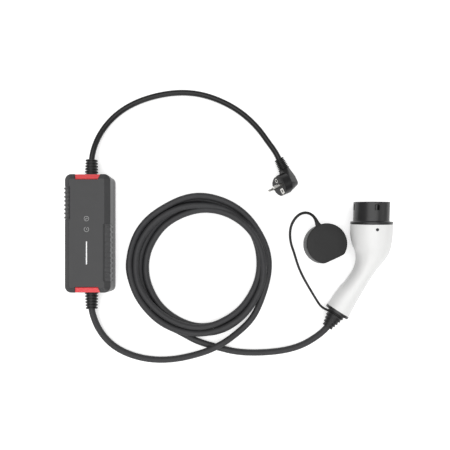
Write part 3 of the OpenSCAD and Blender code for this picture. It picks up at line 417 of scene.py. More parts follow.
def gun_point(p):
    """Points of the gun's own frame, with y along its nose and z up, tilted so that it lies on belly and ring."""
    return GUN_AT + np.asarray(p, float) @ GUN_FRAME


def tail_point(back, left=0.0):
    """A point behind the handle's end and to the left of its axis."""
    return gun_point(np.array([-54.8, -152.5, 0.0]) + back * TAIL_BACK + left * TAIL_LEFT)


TAIL, TAIL_AXIS = tail_point(0), tail_point(1) - tail_point(0)

# Routes of the cords in millimetres, chosen along the photo, from the box or the cap to the other end
MAINS_ROUTE = np.array([
    [0, CABLE_END, PARTING], [0, 108, PARTING], [0, 132, PARTING], [2.9, 150, 15.5], [8.1, 167.6, 12.5],
    [17, 186.3, 9], [31.8, 206.3, 6.4], [52.4, 224.3, 5.4], [84.7, 241.3, 5.4], [120.7, 251.9, 5.4],
    [156.5, 256.2, 5.4], [192.7, 253.2, 5.4], [229.1, 241.6, 5.4], [265.7, 221.1, 5.4], [283.6, 206.1, 6],
    [302.5, 184.7, 8.5], [316.8, 164.2, 11], plug_point(0, -52, -25.5), plug_point(0, -44, -25.5),
    plug_point(0, -26, -25.5)])

LEAD_IN = np.array([
    [0, -CABLE_END, PARTING], [0, -108, PARTING], [0, -133, PARTING], [3, -148.6, 14], [9.7, -167.3, 10],
    [20.7, -185.2, 7], [38.6, -202.3, 6], [61.5, -214.8, 5.8], [90.9, -223.6, 5.8], [124, -226.6, 5.8],
    [157, -223.5, 6.5], [188.2, -215.3, 11.5], [207, -208.4, 15.8], [220.2, -202.3, 17.4], [237.4, -193.1, 16],
    [257.1, -179.7, 11]])

LEAD_OUT = np.array([
    [185.4, -191.4, 5.8], [220, -202.6, 5.8], [251, -210.5, 5.8], [283.3, -213.6, 5.8], [315.7, -212.7, 6.2],
    [346.4, -208.1, 9.5], [374.4, -198.9, 13.5], [397.7, -185.2, 17], tail_point(35), tail_point(14), tail_point(-16)])

TETHER_ROUTE = np.array([
    [399.9, 16.6, 36], [396.4, 26.1, 33], [390.2, 34.4, 26], [380.8, 38.1, 16], [371.4, 34.9, 8], [363, 25.5, 4],
    [357.3, 11.8, 3], [356.2, -3.1, 3], [358.1, -17, 3], [362.8, -31.6, 3], [368.3, -49.5, 3], [375.5, -68.3, 3],
    [383.6, -84.5, 4.5], [393.4, -102.3, 8.5], [402.4, -118.3, 14], [411.2, -130.2, 18.5], tail_point(9.4, 14.6)])

# The coil about one middle: angle in degrees, radius and height of the line where they change their course, from the
# box's lead to the gun's
COIL_AT, COIL_STEP = np.array([192.0, -56.2]), 15.0
COIL_KEYS = np.array([
    [-45, 134.1, 7], [-30, 127.3, 10.6], [-15, 124.5, 11.4], [0, 125.2, 7.6], [15, 124.5, 6], [30, 122.9, 6.5],
    [60, 123.6, 12.5], [75, 123.9, 14.8], [90, 124.5, 16], [120, 121, 16.8], [150, 124.5, 16.8], [180, 124.8, 16.8],
    [225, 121.6, 16.8], [270, 121.3, 16.8], [315, 118.2, 16.8], [330, 116.8, 17.5], [345, 116.5, 19],
    [360, 114.5, 20.5], [390, 110.7, 21], [420, 105, 18], [465, 96.8, 9], [480, 95.7, 6.5], [510, 94.8, 5.8],
    [570, 98.8, 5.8], [600, 103.4, 5.8], [630, 109.8, 5.8], [645, 110.5, 5.8], [660, 111.5, 6.5], [705, 116.8, 12],
    [720, 117.5, 13], [735, 117, 12.5], [780, 111.5, 7], [795, 110, 6], [810, 108.5, 5.8], [840, 106.8, 5.8],
    [870, 106.2, 5.8], [930, 110.2, 5.8], [960, 114.8, 5.8], [990, 121.2, 5.8], [1005, 123.2, 5.8], [1020, 122, 5.8],
    [1065, 115, 5.8], [1080, 113.6, 5.8], [1095, 113, 7], [1140, 110, 14.5], [1170, 107.3, 16.8], [1200, 108.8, 16.8],
    [1245, 113.6, 15.8], [1275, 113.6, 15.8], [1305, 110, 16.4], [1320, 109.6, 16.8], [1350, 110.5, 16.8],
    [1380, 107.1, 15], [1410, 106, 14], [1440, 107.9, 14.5], [1455, 109.4, 13], [1485, 113.5, 7.5], [1500, 115.5, 6],
    [1530, 119.5, 5.8], [1575, 121, 5.8], [1590, 122.8, 5.8], [1620, 127.6, 5.8], [1650, 124, 5.8],
    [1680, 123.9, 5.8], [1692, 124.6, 5.8]])


def coil_points():
    """Points of the coil's turns: middle + radius * (cos, sin) of an angle that grows step by step, with radius and
    height taken evenly between the keys."""
    points = []
    for angle in np.append(np.arange(COIL_KEYS[0, 0], COIL_KEYS[-1, 0], COIL_STEP), COIL_KEYS[-1, 0]):
        radius, height = (np.interp(angle, COIL_KEYS[:, 0], COIL_KEYS[:, k]) for k in (1, 2))
        a = math.radians(angle)
        points.append([COIL_AT[0] + radius * math.cos(a), COIL_AT[1] + radius * math.sin(a), height])
    return np.array(points)


# ---- the control box

SLOPE_W, SLOPE_DROP, CORNER_R = 9.0, 6.5, 11.0
SLOPE_RUN = math.hypot(SLOPE_W, SLOPE_DROP)
SLOPE_N = np.array([SLOPE_DROP, SLOPE_W]) / SLOPE_RUN
GRIP_LOW, GRIP_DEPTH, GRIP_SINK = 27.0, 1.4, 0.5
GRIPS = {"right": (1, -33.5, 11, 9.0, 0.5), "left": (-1, 52.5, 8, 7.2, 1.2)}
RIB_W = 3.4
TRIM_W, TRIM_L, TRIM_T, TRIM_SINK, TRIM_LOW, TRIM_TAPER, TRIM_GROOVE = 44.0, 8.4, 2.4, 0.6, 38.0, 2.5, 2.0
BAR_Y, BAR_L, BAR_W = -34.0, 40.0, 2.2


def ease(x):
    """0 below zero, 1 above one, and 3 x^2 - 2 x^3 between."""
    x = np.clip(x, 0, 1)
    return x * x * (3 - 2 * x)


def slope_height(d):
    """Height of the sloped edge's plane at a distance in from the wall."""
    return BOX_H - SLOPE_DROP + d * SLOPE_DROP / SLOPE_W


def fillet(corner, n1, n2, radius, steps):
    """Arc that joins two lines at a corner, given their outward normals: middle + radius * (cos, sin)."""
    n1, n2 = np.asarray(n1, float), np.asarray(n2, float)
    middle = np.asarray(corner, float) - radius * (n1 + n2) / (1 + n1 @ n2)
    a = np.linspace(math.atan2(n1[1], n1[0]), math.atan2(n2[1], n2[0]), steps)
    return np.stack([middle[0] + radius * np.cos(a), middle[1] + radius * np.sin(a)], axis=-1)


def side_marks(half, step, marks=()):
    """Places along a straight side as shares of its half length: even steps, with a tight pair at each mark."""
    even = np.linspace(-half, half, int(2 * half / step) + 1)
    pairs = np.asarray(marks, float)[:, None] + np.array([-0.15, 0.15]) if len(marks) else np.zeros((0, 2))
    place = np.unique(np.round(np.concatenate([even, pairs.ravel()]), 3))
    return place[np.abs(place) <= half + 1e-9] / half


class RoundLoop:
    """A rectangle with round corners as shares: each point is (sx * cx + r cos, sy * cy + r sin), so loops of any
    size share one count and one order."""

    def __init__(self, right, left, end, corner=10):
        arc = np.linspace(0, np.pi / 2, corner + 2)[1:-1]
        one = np.ones
        parts = [
            (one(len(right)), right, np.zeros(len(right))), (one(corner), one(corner), arc),
            (end[::-1], one(len(end)), np.full(len(end), np.pi / 2)), (-one(corner), one(corner), arc + np.pi / 2),
            (-one(len(left)), left[::-1], np.full(len(left), np.pi)), (-one(corner), -one(corner), arc + np.pi),
            (end, -one(len(end)), np.full(len(end), 1.5 * np.pi)), (one(corner), -one(corner), arc + 1.5 * np.pi)]
        self.sx, self.sy, turn = (np.concatenate([part[k] for part in parts]) for k in range(3))
        self.cos, self.sin = np.cos(turn), np.sin(turn)

    def at(self, cx, cy, r, z, middle=(0.0, 0.0)):
        """The loop's points for one centre half width, half length, corner radius and height."""
        cx, cy, r, z = (np.asarray(v, float) * np.ones_like(self.sx) for v in (cx, cy, r, z))
        return np.stack([middle[0] + self.sx * cx + r * self.cos, middle[1] + self.sy * cy + r * self.sin, z], axis=-1)

    def inset(self, d, z):
        """The loop of the box at a distance in from its wall, which may differ along the loop."""
        r = np.maximum(CORNER_R - d, 0.8)
        return self.at(BOX_W / 2 - d - r, BOX_L / 2 - d - r, r, z)


def front_loop():
    """Loop with its points set for the edges of both grips and both end trims."""
    half_l, half_w = BOX_L / 2 - CORNER_R, BOX_W / 2 - CORNER_R
    edges = {}
    for name, (_, y, ribs, pitch, _) in GRIPS.items():
        edges[name] = (y - ribs * pitch / 2, y + ribs * pitch / 2)
    notch = np.arange(18.6, 22.9, 0.4)
    return RoundLoop(side_marks(half_l, 1.6, edges["right"]), side_marks(half_l, 1.6, edges["left"]),
                     side_marks(half_w, 1.2, np.concatenate([-notch, notch])))


def cover_section(edge_round, crease_round):
    """Distance in from the wall and height of the front cover's outside, from the parting line to the face."""
    wall = np.array([[0, z] for z in (PARTING + 0.4, 20, 24, 26.85, 27.15, 30, 33, 36, 37.85, 38.15, 39.4)])
    edge = fillet([0, BOX_H - SLOPE_DROP], [1, 0], SLOPE_N, edge_round, 7)
    crease = fillet([-SLOPE_W, BOX_H], SLOPE_N, [0, 1], crease_round, 5)
    slope = edge[-1] + (crease[0] - edge[-1]) * np.array([[0.33], [0.66]])
    face = np.array([[-d, BOX_H] for d in (9.9, 10.25, 10.55, 11.39, 11.8, 13.5, 17)])
    outside = np.vstack([[[-0.4, PARTING]], wall, edge, slope, crease, face])
    return -outside[:, 0], outside[:, 1]


def carve(d, z, depth, mask):
    """Draws a section in by a depth, where mask is 1: in from the wall and down from the slope's plane."""
    inner = np.maximum(d, depth)
    lower = np.minimum(z, slope_height(inner) - depth / SLOPE_N[1])
    return d + mask * (inner - d), z + mask * (lower - z)


def make_front_cover():
    """Front cover: the section carried round the box, carved for the grips and trims, then down into the light
    bar's slot and back along the inside of its wall."""
    box = settings("box")
    loop = front_loop()
    d0, z0 = cover_section(box.edge_round / MM, box.crease_round / MM)
    outer_rows = len(d0)
    wall = box.wall / MM
    inside = np.array([[13.0, BOX_H - wall], [10.2, BOX_H - wall], [wall, BOX_H - SLOPE_DROP - wall / 2],
                       [wall, 30.0], [wall, PARTING]])
    d = np.concatenate([d0, inside[:, 0]])[:, None] * np.ones(len(loop.sx))
    z = np.concatenate([z0, inside[:, 1]])[:, None] * np.ones(len(loop.sx))
    is_outer = (np.arange(len(d)) < outer_rows)[:, None]
    straight = loop.sy * (BOX_L / 2 - CORNER_R)
    above = ease((z - GRIP_LOW + 0.15) / 0.3)
    for side, y, ribs, pitch, _ in GRIPS.values():
        reach = ribs * pitch / 2 - np.abs(straight - y)
        on_side = (loop.sx * side > 0.999) & (np.abs(loop.sin) < 1e-6)
        mask = above * ease(reach / 0.3 + 0.5) * on_side * is_outer
        d, z = carve(d, z, GRIP_DEPTH, mask)
    at_end = np.abs(loop.cos) < 1e-6
    x = np.abs(loop.sx * (BOX_W / 2 - CORNER_R))
    half = TRIM_W / 2 + 0.15 - TRIM_TAPER * (d + 1) / (TRIM_L + TRIM_GROOVE + 1)
    mask = at_end * ease((half - x) / 0.5 + 0.5) * ease((z - TRIM_LOW + 0.15) / 0.3) * (d < TRIM_L + TRIM_GROOVE)
    cut = np.where(is_outer, TRIM_T + TRIM_SINK, TRIM_T + TRIM_SINK + 1.4)
    d, z = carve(d, z, cut, mask)
    rows = [loop.inset(d[k], z[k]) for k in range(len(d))]
    slot_half, slot_r = (BAR_L - BAR_W) / 2, BAR_W / 2 + 0.15
    mid, edge = rows[outer_rows - 1], loop.at(0, slot_half, slot_r + 0.25, BOX_H, (0, BAR_Y))
    slot = [mid + (edge - mid) * t for t in (0.35, 0.7)] + [edge]
    slot += [loop.at(0, slot_half, slot_r, h, (0, BAR_Y)) for h in (BOX_H - 0.25, BOX_H - wall)]
    rows = rows[:outer_rows] + slot + rows[outer_rows:]
    return stack("front_cover_shell", np.array(rows) * MM, "cover_plastic", ("front_cover",))


def edge_line(run, edge_round, low):
    """Points and normals of the wall and slope that a grip lies on: distance in, height, outward and upward part,
    from the lower edge to a run along the slope."""
    arc = fillet([0, BOX_H - SLOPE_DROP], [1, 0], SLOPE_N, edge_round, 9)
    turn = np.linspace(0, math.atan2(SLOPE_N[1], SLOPE_N[0]), 9)
    start = np.concatenate([low + np.array([0, 0.25, 0.6, 1.1]), np.linspace(low + 2.4, arc[0, 1] - 1, 5)])
    along = np.array([-SLOPE_W, SLOPE_DROP]) / SLOPE_RUN
    corner = np.array([0, BOX_H - SLOPE_DROP])
    used = np.linalg.norm(arc[-1] - corner)
    marks = np.concatenate([np.linspace(used + 0.8, run - 2.4, 4), run - np.array([1.1, 0.6, 0.25, 0])])
    points = np.vstack([np.stack([0 * start, start], axis=-1), arc, corner + marks[:, None] * along])
    normals = np.vstack([np.tile([1.0, 0.0], (len(start), 1)), np.stack([np.cos(turn), np.sin(turn)], axis=-1),
                         np.tile(SLOPE_N, (len(marks), 1))])
    length = np.concatenate([[0], np.cumsum(np.linalg.norm(np.diff(points, axis=0), axis=1))])
    return points, normals, length


def lifted(points, normals, offset):
    """A section's points moved along their normals: point + offset * normal, for a grid of offsets."""
    return points[:, None, :] + normals[:, None, :] * offset[..., None]


def bulge(x):
    """Rounded block: (1 - x^4) to the power 1/4 within -1..1, else 0."""
    return np.clip(1 - np.abs(x) ** 4, 0, 1) ** 0.25


def make_grip(name):
    """Ribbed grip: a web under the surface, with ribs raised from it by a rounded block along the box, times one
    across the box that stops short of the slope's end."""
    side, middle, ribs, pitch, proud = GRIPS[name]
    edge_round = settings("box").edge_round / MM
    points, normals, length = edge_line(SLOPE_RUN - 1, edge_round, GRIP_LOW + 0.15)
    local = np.array([-1, -0.985, -0.94, -0.84, -0.66, -0.4, 0, 0.4, 0.66, 0.84, 0.94, 0.985, 1]) * RIB_W / 2
    centres = (np.arange(ribs) - (ribs - 1) / 2) * pitch
    y = np.concatenate([[-ribs * pitch / 2 + 0.15, -ribs * pitch / 2 + 0.45], (centres[:, None] + local).ravel(),
                        [ribs * pitch / 2 - 0.45, ribs * pitch / 2 - 0.15]])
    nearest = y[:, None] - centres
    near = np.abs(nearest).argmin(axis=1)
    rib = bulge(nearest[np.arange(len(y)), near] / (RIB_W / 2))
    ends = np.minimum(length / 1.2, np.maximum((length[-1] - 1.0 - length) / 1.2, 0))
    across = bulge(1 - np.clip(ends, 0, 1))
    lift = -GRIP_SINK + (proud + GRIP_SINK) * across[:, None] * rib[None, :]

    def skin(offset):
        section = lifted(points, normals, offset)
        along = middle + y[None, :] * np.ones_like(offset)
        return np.stack([side * (BOX_W / 2 + section[..., 0]), along, section[..., 1]], axis=-1)

    back = np.full_like(lift, -GRIP_DEPTH + 0.02)
    return slab(name + "_grip_ribs", skin(lift) * MM, skin(back) * MM, "grip_rubber", (name + "_grip",))


def make_trim(name, end):
    """End trim: the strip between two offsets from the wall and slope, narrower inboard, with its edges rounded
    down by half a millimetre."""
    low = TRIM_LOW + 0.1
    run = TRIM_L * SLOPE_RUN / SLOPE_W
    points, normals, length = edge_line(run, settings("box").edge_round / MM, low)
    u = np.concatenate([[-1, -0.995, -0.98, -0.95], np.linspace(-0.9, 0.9, 15), [0.95, 0.98, 0.995, 1]])
    d = -points[:, 0]
    half = TRIM_W / 2 - TRIM_TAPER * (d + 1) / (TRIM_L + 1)
    rim = np.minimum(np.minimum(length, length[-1] - length)[:, None] / 0.9, half[:, None] * (1 - np.abs(u)) / 0.9)
    front = -TRIM_SINK - 0.55 * (1 - bulge(1 - np.clip(rim, 0, 1)))
    thick = np.full_like(front, -TRIM_SINK - TRIM_T + 0.02)

    def skin(offset):
        section = lifted(points, normals, offset)
        return np.stack([half[:, None] * u, end * (BOX_L / 2 + section[..., 0]), section[..., 1]], axis=-1)

    return slab(name + "_insert", skin(front) * MM, skin(thick) * MM, "trim_plastic", (name,))


def make_light_bar():
    """Light bar: stadium loops with a rounded top edge, closed on its middle line."""
    loop = RoundLoop(side_marks(1, 0.5), side_marks(1, 0.5), side_marks(1, 1.0), 10)
    half, r, top = (BAR_L - BAR_W) / 2, BAR_W / 2, BOX_H + 0.2
    rows = [loop.at(0, half, grow, z, (0, BAR_Y)) for grow, z in (
        (0.01, 45.9), (r + 1.6, 45.9), (r + 1.6, 47.35), (r, 47.36), (r, top - 0.3), (r - 0.09, top - 0.09),
        (r - 0.3, top), (0.01, top))]
    return stack("light_bar_lens", np.array(rows) * MM, "light_pipe", ("light_bar",), "poles")


def ribbon(name, path, closed=False):
    """A printed line on the face: the path moved half a stroke to both sides, from just under the face to just
    above it."""
    box = settings("box")
    path = np.asarray(path, float)
    ahead = np.roll(path, -1, axis=0) - np.roll(path, 1, axis=0)
    if not closed:
        ahead[0], ahead[-1] = path[1] - path[0], path[-1] - path[-2]
    side = unit(np.stack([-ahead[:, 1], ahead[:, 0]], axis=-1)) * box.symbol_width / MM / 2
    low, high = BOX_H - 0.1, BOX_H + box.symbol_height / MM
    edges = [(path - side, low), (path + side, low), (path + side, high), (path - side, high)]
    rows = np.array([np.column_stack([p, np.full(len(p), z)]) for p, z in edges]).transpose(1, 0, 2)
    return stack(name, rows * MM, "symbol_ink", (), "wrap" if closed else "poles", 30)


def make_symbols():
    """Printed symbols by the two touch keys: a ring with a wave in it, and an open ring with two clock hands."""
    a = np.linspace(0, 2 * np.pi, 64, endpoint=False)
    ring = 4.0 * np.stack([np.cos(a), np.sin(a)], axis=-1)
    wave_x = np.linspace(-2.4, 2.4, 33)
    wave = np.stack([wave_x, 1.15 * np.sin(wave_x * np.pi / 2.4)], axis=-1)
    b = np.linspace(np.radians(112), np.radians(428), 56)
    dial = 4.0 * np.stack([np.cos(b), np.sin(b)], axis=-1)
    hands = np.array([[0, 2.5], [0, 0.2], [0.1, 0.02], [0.3, -0.08], [1.7, -0.75]])
    ribbon("current_ring", ring + [0, 25.0], True)
    ribbon("current_wave", wave + [0, 25.0])
    ribbon("delay_ring", dial + [0, 6.5])
    ribbon("delay_hands", hands + [0, 6.5])


# ---- boots


def boot_profile(bore, flange, neck, seat, length, ribs, root, tip, rib_w=2.3, groove=2.3):
    """Radius and height of a ribbed boot: flange and neck below zero, a plain seat, then ribs that shrink evenly
    from the root radius to the tip radius."""
    outline = [[bore, -neck[1] - flange[1]], [flange[0], -neck[1] - flange[1]], [flange[0], -neck[1]],
               [neck[0], -neck[1]], [neck[0], 0], [seat[0], 0], [seat[0], seat[1]]]
    pitch = (length - seat[1] - rib_w) / (ribs - 1)
    for i in range(ribs):
        z, r = seat[1] + i * pitch, root + (tip - root) * i / (ribs - 1)
        outline += [[r, z], [r, z + rib_w]]
        if i < ribs - 1:
            outline += [[r - groove, z + rib_w], [r - groove, z + pitch]]
    outline.append([bore, length])
    return rounded_profile(outline, 0.75)


def make_boots():
    """Strain reliefs of both box ends and of the gun."""
    mains, lead = 5.3, 6.0
    lathe("mains_boot", boot_profile(mains, (11, 3), (8.6, 2.6), (10.1, 1.3), 29, 6, 11.7, 10.6) * MM,
          np.array([0, BOX_L / 2, PARTING]) * MM, [0, 1, 0], "boot_rubber", ("mains_strain_relief",))
    lathe("lead_boot", boot_profile(lead, (11, 3), (8.6, 2.6), (10.1, 1.3), 30, 6, 11.7, 10.6) * MM,
          np.array([0, -BOX_L / 2, PARTING]) * MM, [0, -1, 0], "boot_rubber", ("ev_strain_relief",))
    lathe("gun_boot", boot_profile(lead, (16.5, 4), (12, 5), (12.4, 4), 30, 5, 15.9, 9.6) * MM,
          (TAIL + 5 * TAIL_AXIS) * MM, TAIL_AXIS, "boot_rubber", ("gun_strain_relief",))


# ---- the plug

PLUG_BEND, PLUG_BACK, SLEEVE_Y = 5.0, 20.5, -23.0


def make_plug():
    """Plug body: the model's shape with its edges rounded, and its neck bent back from the face: each point moves
    back along the pins by the bend times ease((-8 - y) / 16). Behind the neck it shrinks about the cable, to be the
    core of a ribbed sleeve."""
    obj = softened("plug_body", "plug_moulding", 0.8, "plug_plastic", 28, 3)
    points = np.zeros(3 * len(obj.data.vertices))
    obj.data.vertices.foreach_get("co", points)
    points = points.reshape(-1, 3)
    y = (points / MM - PLUG_AT) @ PLUG_Y
    axis = (plug_point(0, 0, -PLUG_BACK) + y[:, None] * PLUG_Y) * MM
    points = axis + (points - axis) * np.where(y < SLEEVE_Y - 1, 0.7, 1.0)[:, None]
    points -= PLUG_BEND * MM * ease((-8 - y) / 16)[:, None] * PLUG_N
    obj.data.vertices.foreach_set("co", points.ravel())
    obj.data.update()
    sleeve = boot_profile(5.2, (6.6, 1.5), (7, 1), (7.4, 0.8), 21, 7, 9.9, 8.7, 1.5, 2.1)
    root = plug_point(0, SLEEVE_Y, -PLUG_BACK - PLUG_BEND)
    return [obj, lathe("plug_sleeve", sleeve * MM, root * MM, -PLUG_Y, "plug_plastic")]


def make_earth_clip():
    """Front lip of the earth strap: a square frame on the face, between a square with round corners and a smaller
    one."""
    loop = RoundLoop(side_marks(1, 0.5), side_marks(1, 0.5), side_marks(1, 0.5), 4)
    rows = []
    for half, corner, z in ((4.4, 0.7, 0.1), (4.4, 0.7, 0.7), (4.2, 0.6, 0.9),
                            (2.0, 0.4, 0.9), (1.8, 0.3, 0.7), (1.8, 0.3, 0.1)):
        p = loop.at(half - corner, half + 0.5 - corner, corner, z, (-4.2, 11.2))
        rows.append(PLUG_AT + p[:, :1] * PLUG_X + p[:, 1:2] * PLUG_Y + p[:, 2:] * PLUG_N)
    return stack("earth_clip_lip", np.array(rows) * MM, "pin_metal")


# ---- the gun

# Stations of the handle: middle to the right and back, turn in degrees, half width and half height
HANDLE = np.array([
    [0, 0, 0, 36, 36], [0, 18, 0, 36, 35.2], [1.5, 36, 0, 33.2, 32.6], [1.8, 50, 4, 28.5, 29.2],
    [-2.1, 62, 10, 23.4, 26.4], [-7.9, 73.7, 18, 18.9, 24], [-15.1, 87.9, 27, 16.9, 22], [-26.3, 106.4, 31, 17.5, 21],
    [-41.0, 128.2, 32, 20, 20.8], [-54.8, 152.5, 32, 21.6, 21.4]])
HANDLE_WALL, COLLAR_R, SCREW_Y, SCREW_R = 2.6, 36.0, -8.2, 2.75
NOSE_C, NOSE_R, NOSE_FLAT, NOSE_WALL, NOSE_FRONT = -0.1, 31.2, 26.8, 3.0, 38.6
LOCK_Y, LOCK_Z, LOCK_HALF = 29.5, 30.5, (4.1, 5.0)


def through(rows, steps):
    """A curve through rows whose slope at each is half the way from the row before to the row after."""
    n = len(rows) - 1
    t = (np.arange(steps) / steps)[None, :, None]
    a, b, c, d = (rows[np.clip(np.arange(n) + k, 0, n)][:, None, :] for k in (-1, 0, 1, 2))
    body = 0.5 * (2 * b + (c - a) * t + (2 * a - 5 * b + 4 * c - d) * t ** 2 + (3 * b - a - 3 * c + d) * t ** 3)
    return np.vstack([body.reshape(-1, rows.shape[1]), rows[-1:]])


def handle_rows(inset, sides=96, steps=10):
    """Loops of the handle: at each station a middle, and an oval across the turned side direction and up."""
    s = through(HANDLE, steps)
    turn = np.radians(s[:, 2])
    a = np.linspace(0, 2 * np.pi, sides, endpoint=False)
    middle = np.stack([s[:, 0], -s[:, 1], 0 * s[:, 0]], axis=-1)
    side = np.stack([np.cos(turn), -np.sin(turn), 0 * turn], axis=-1) * (s[:, 3] - inset)[:, None]
    up = np.stack([0 * turn, 0 * turn, s[:, 4] - inset], axis=-1)
    across, above = np.cos(a)[None, :, None] * side[:, None], np.sin(a)[None, :, None] * up[:, None]
    return gun_point(middle[:, None] + across + above)


def cut_holes(obj, middles, outline, depth):
    """Takes holes of one outline out of a closed piece of the gun, with prisms about the middles that reach a depth
    above and below them in the gun's frame, closed on both ends."""
    n = len(outline)
    ring = np.column_stack([outline, np.zeros(n)])
    points, faces = [], []
    for k, middle in enumerate(middles):
        points += [gun_point(middle + ring + [0, 0, end]) * MM for end in (-depth, depth)]
        faces += (grid_quads(2, n, False, True) + 2 * n * k).tolist()
        faces += [list(range(2 * n * k + n - 1, 2 * n * k - 1, -1)), list(range(2 * n * k + n, 2 * n * (k + 1)))]
    mesh = bpy.data.meshes.new("cutter")
    mesh.from_pydata(np.vstack(points).tolist(), [], faces)
    cutter = add_object("cutter", mesh)
    tool = obj.modifiers.new("Holes", "BOOLEAN")
    tool.operation = "DIFFERENCE"
    tool.solver = "EXACT"
    tool.object = cutter
    graph = bpy.context.evaluated_depsgraph_get()
    result = bpy.data.meshes.new_from_object(obj.evaluated_get(graph))
    obj.modifiers.clear()
    old = obj.data
    obj.data = result
    result.set_sharp_from_angle(angle=math.radians(35))
    bpy.data.meshes.remove(old)
    bpy.data.objects.remove(cutter)
    bpy.data.meshes.remove(mesh)


def make_handle():
    """Handle: the outer loops from the collar to the tail and the inner ones back, with two screw recesses."""
    outer, inner = handle_rows(0.0), handle_rows(HANDLE_WALL)
    rows = np.vstack([outer, inner[::-1]])
    obj = stack("handle_shell", rows * MM, "handle_plastic", ("gun_handle",), "wrap", 40)
    turn = np.linspace(0, 2 * np.pi, 40, endpoint=False)
    recess = SCREW_R * np.stack([np.cos(turn), np.sin(turn)], axis=-1)
    cut_holes(obj, [np.array([0, SCREW_Y, end * COLLAR_R]) for end in (1, -1)], recess, 1.9)


def nose_radius(r, flat, turn):
    """Distance from the middle to a circle with one flat, with the corners eased: the two distances to the power
    -40 are added, and the sum is taken to the power -1 / 40."""
    line = np.where(np.cos(turn) > 0.05, flat / np.maximum(np.cos(turn), 0.05), 1e3)
    return (r ** -40.0 + line ** -40.0) ** (-1 / 40.0)


def make_nose():
    """Nose shroud: loops of the circle with one flat, from the seat of the carrier up the inside, over the lip, down
    the outside and round the collar, with a square lock recess drawn into its left side and two square lock holes
    through its upper and lower wall."""
    half = LOCK_HALF[0] / NOSE_R
    tight = np.pi + np.array([-half - 0.004, -half + 0.004, half - 0.004, half + 0.004])
    turn = np.unique(np.concatenate([np.linspace(0, 2 * np.pi, 160, endpoint=False), tight]))
    inner, outer = nose_radius(NOSE_R - NOSE_WALL, NOSE_FLAT - NOSE_WALL, turn), nose_radius(NOSE_R, NOSE_FLAT, turn)
    ring, seat = COLLAR_R * np.ones_like(turn), 26.0 * np.ones_like(turn)

    def loop(r, y, middle=NOSE_C):
        return gun_point(np.stack([middle + r * np.cos(turn), y * np.ones_like(turn), r * np.sin(turn)], axis=-1))

    mask = ease((half - np.abs(turn - np.pi)) / 0.008 + 0.5)
    front = NOSE_FRONT
    rows = [loop(seat, 0.2, 0), loop(seat, 1)]
    rows += [loop(inner + grow, y) for grow, y in ((0, 1), (0, 20), (0, front - 1.2), (0.5, front - 0.3), (1.2, front))]
    rows += [loop(outer + grow, y) for grow, y in ((-1.0, front), (-0.35, front - 0.3), (0, front - 1))]
    rows += [loop(outer - 2.4 * deep * mask, y) for y, deep in (
        (37, 0), (34.65, 0), (34.35, 1), (LOCK_Y, 1), (24.65, 1), (24.35, 0), (17, 0), (10, 0), (6.2, 0))]
    rows += [loop(outer + grow, y) for grow, y in ((0.25, 5.3), (0.9, 4.75), (1.6, 4.5))]
    rows += [loop(ring + grow, y, 0) for grow, y in (
        (-0.6, 4.5), (-0.15, 4.35), (0, 3.9), (0, 0.7), (-0.2, 0.25), (-0.7, 0.02), (-3, 0.0))]
    obj = stack("nose_shell", np.array(rows) * MM, "nose_plastic", ("nose_shroud",))
    lock = np.array([[-1, -1], [1, -1], [1, 1], [-1, 1]]) * LOCK_HALF
    cut_holes(obj, [np.array([0, LOCK_Y, end * LOCK_Z]) for end in (1, -1)], lock, 4.0)


def make_tail():
    """Black ring at the end of the handle and the tether's ring on the boot."""
    ring = rounded_profile([[12.2, 0], [22.1, 0], [22.1, 5], [12.2, 5]], [0.3, 0.5, 0.9, 0.3])
    lathe("handle_end_collar", ring * MM, TAIL * MM, TAIL_AXIS, "nose_plastic", ("handle_end_ring",), 96)
    tie = rounded_profile([[12.6, -1.7], [15.2, -1.7], [15.2, 1.7], [12.6, 1.7]], 0.9)
    lathe("tether_loop", tie * MM, (TAIL + 7 * TAIL_AXIS) * MM, TAIL_AXIS, "cap_rubber", ("tether_ring",))


# ---- the cap

CAP_AT = np.array([416.0, -17.6])
CAP_TURN = math.radians(-64.9)
CAP_R, CAP_FLAT, CAP_WALL, CAP_H, CAP_TOP = 35.5, 30.1, 1.7, 39.0, 2.4
LUG_IN, LUG_OUT = 33.6, 39.6


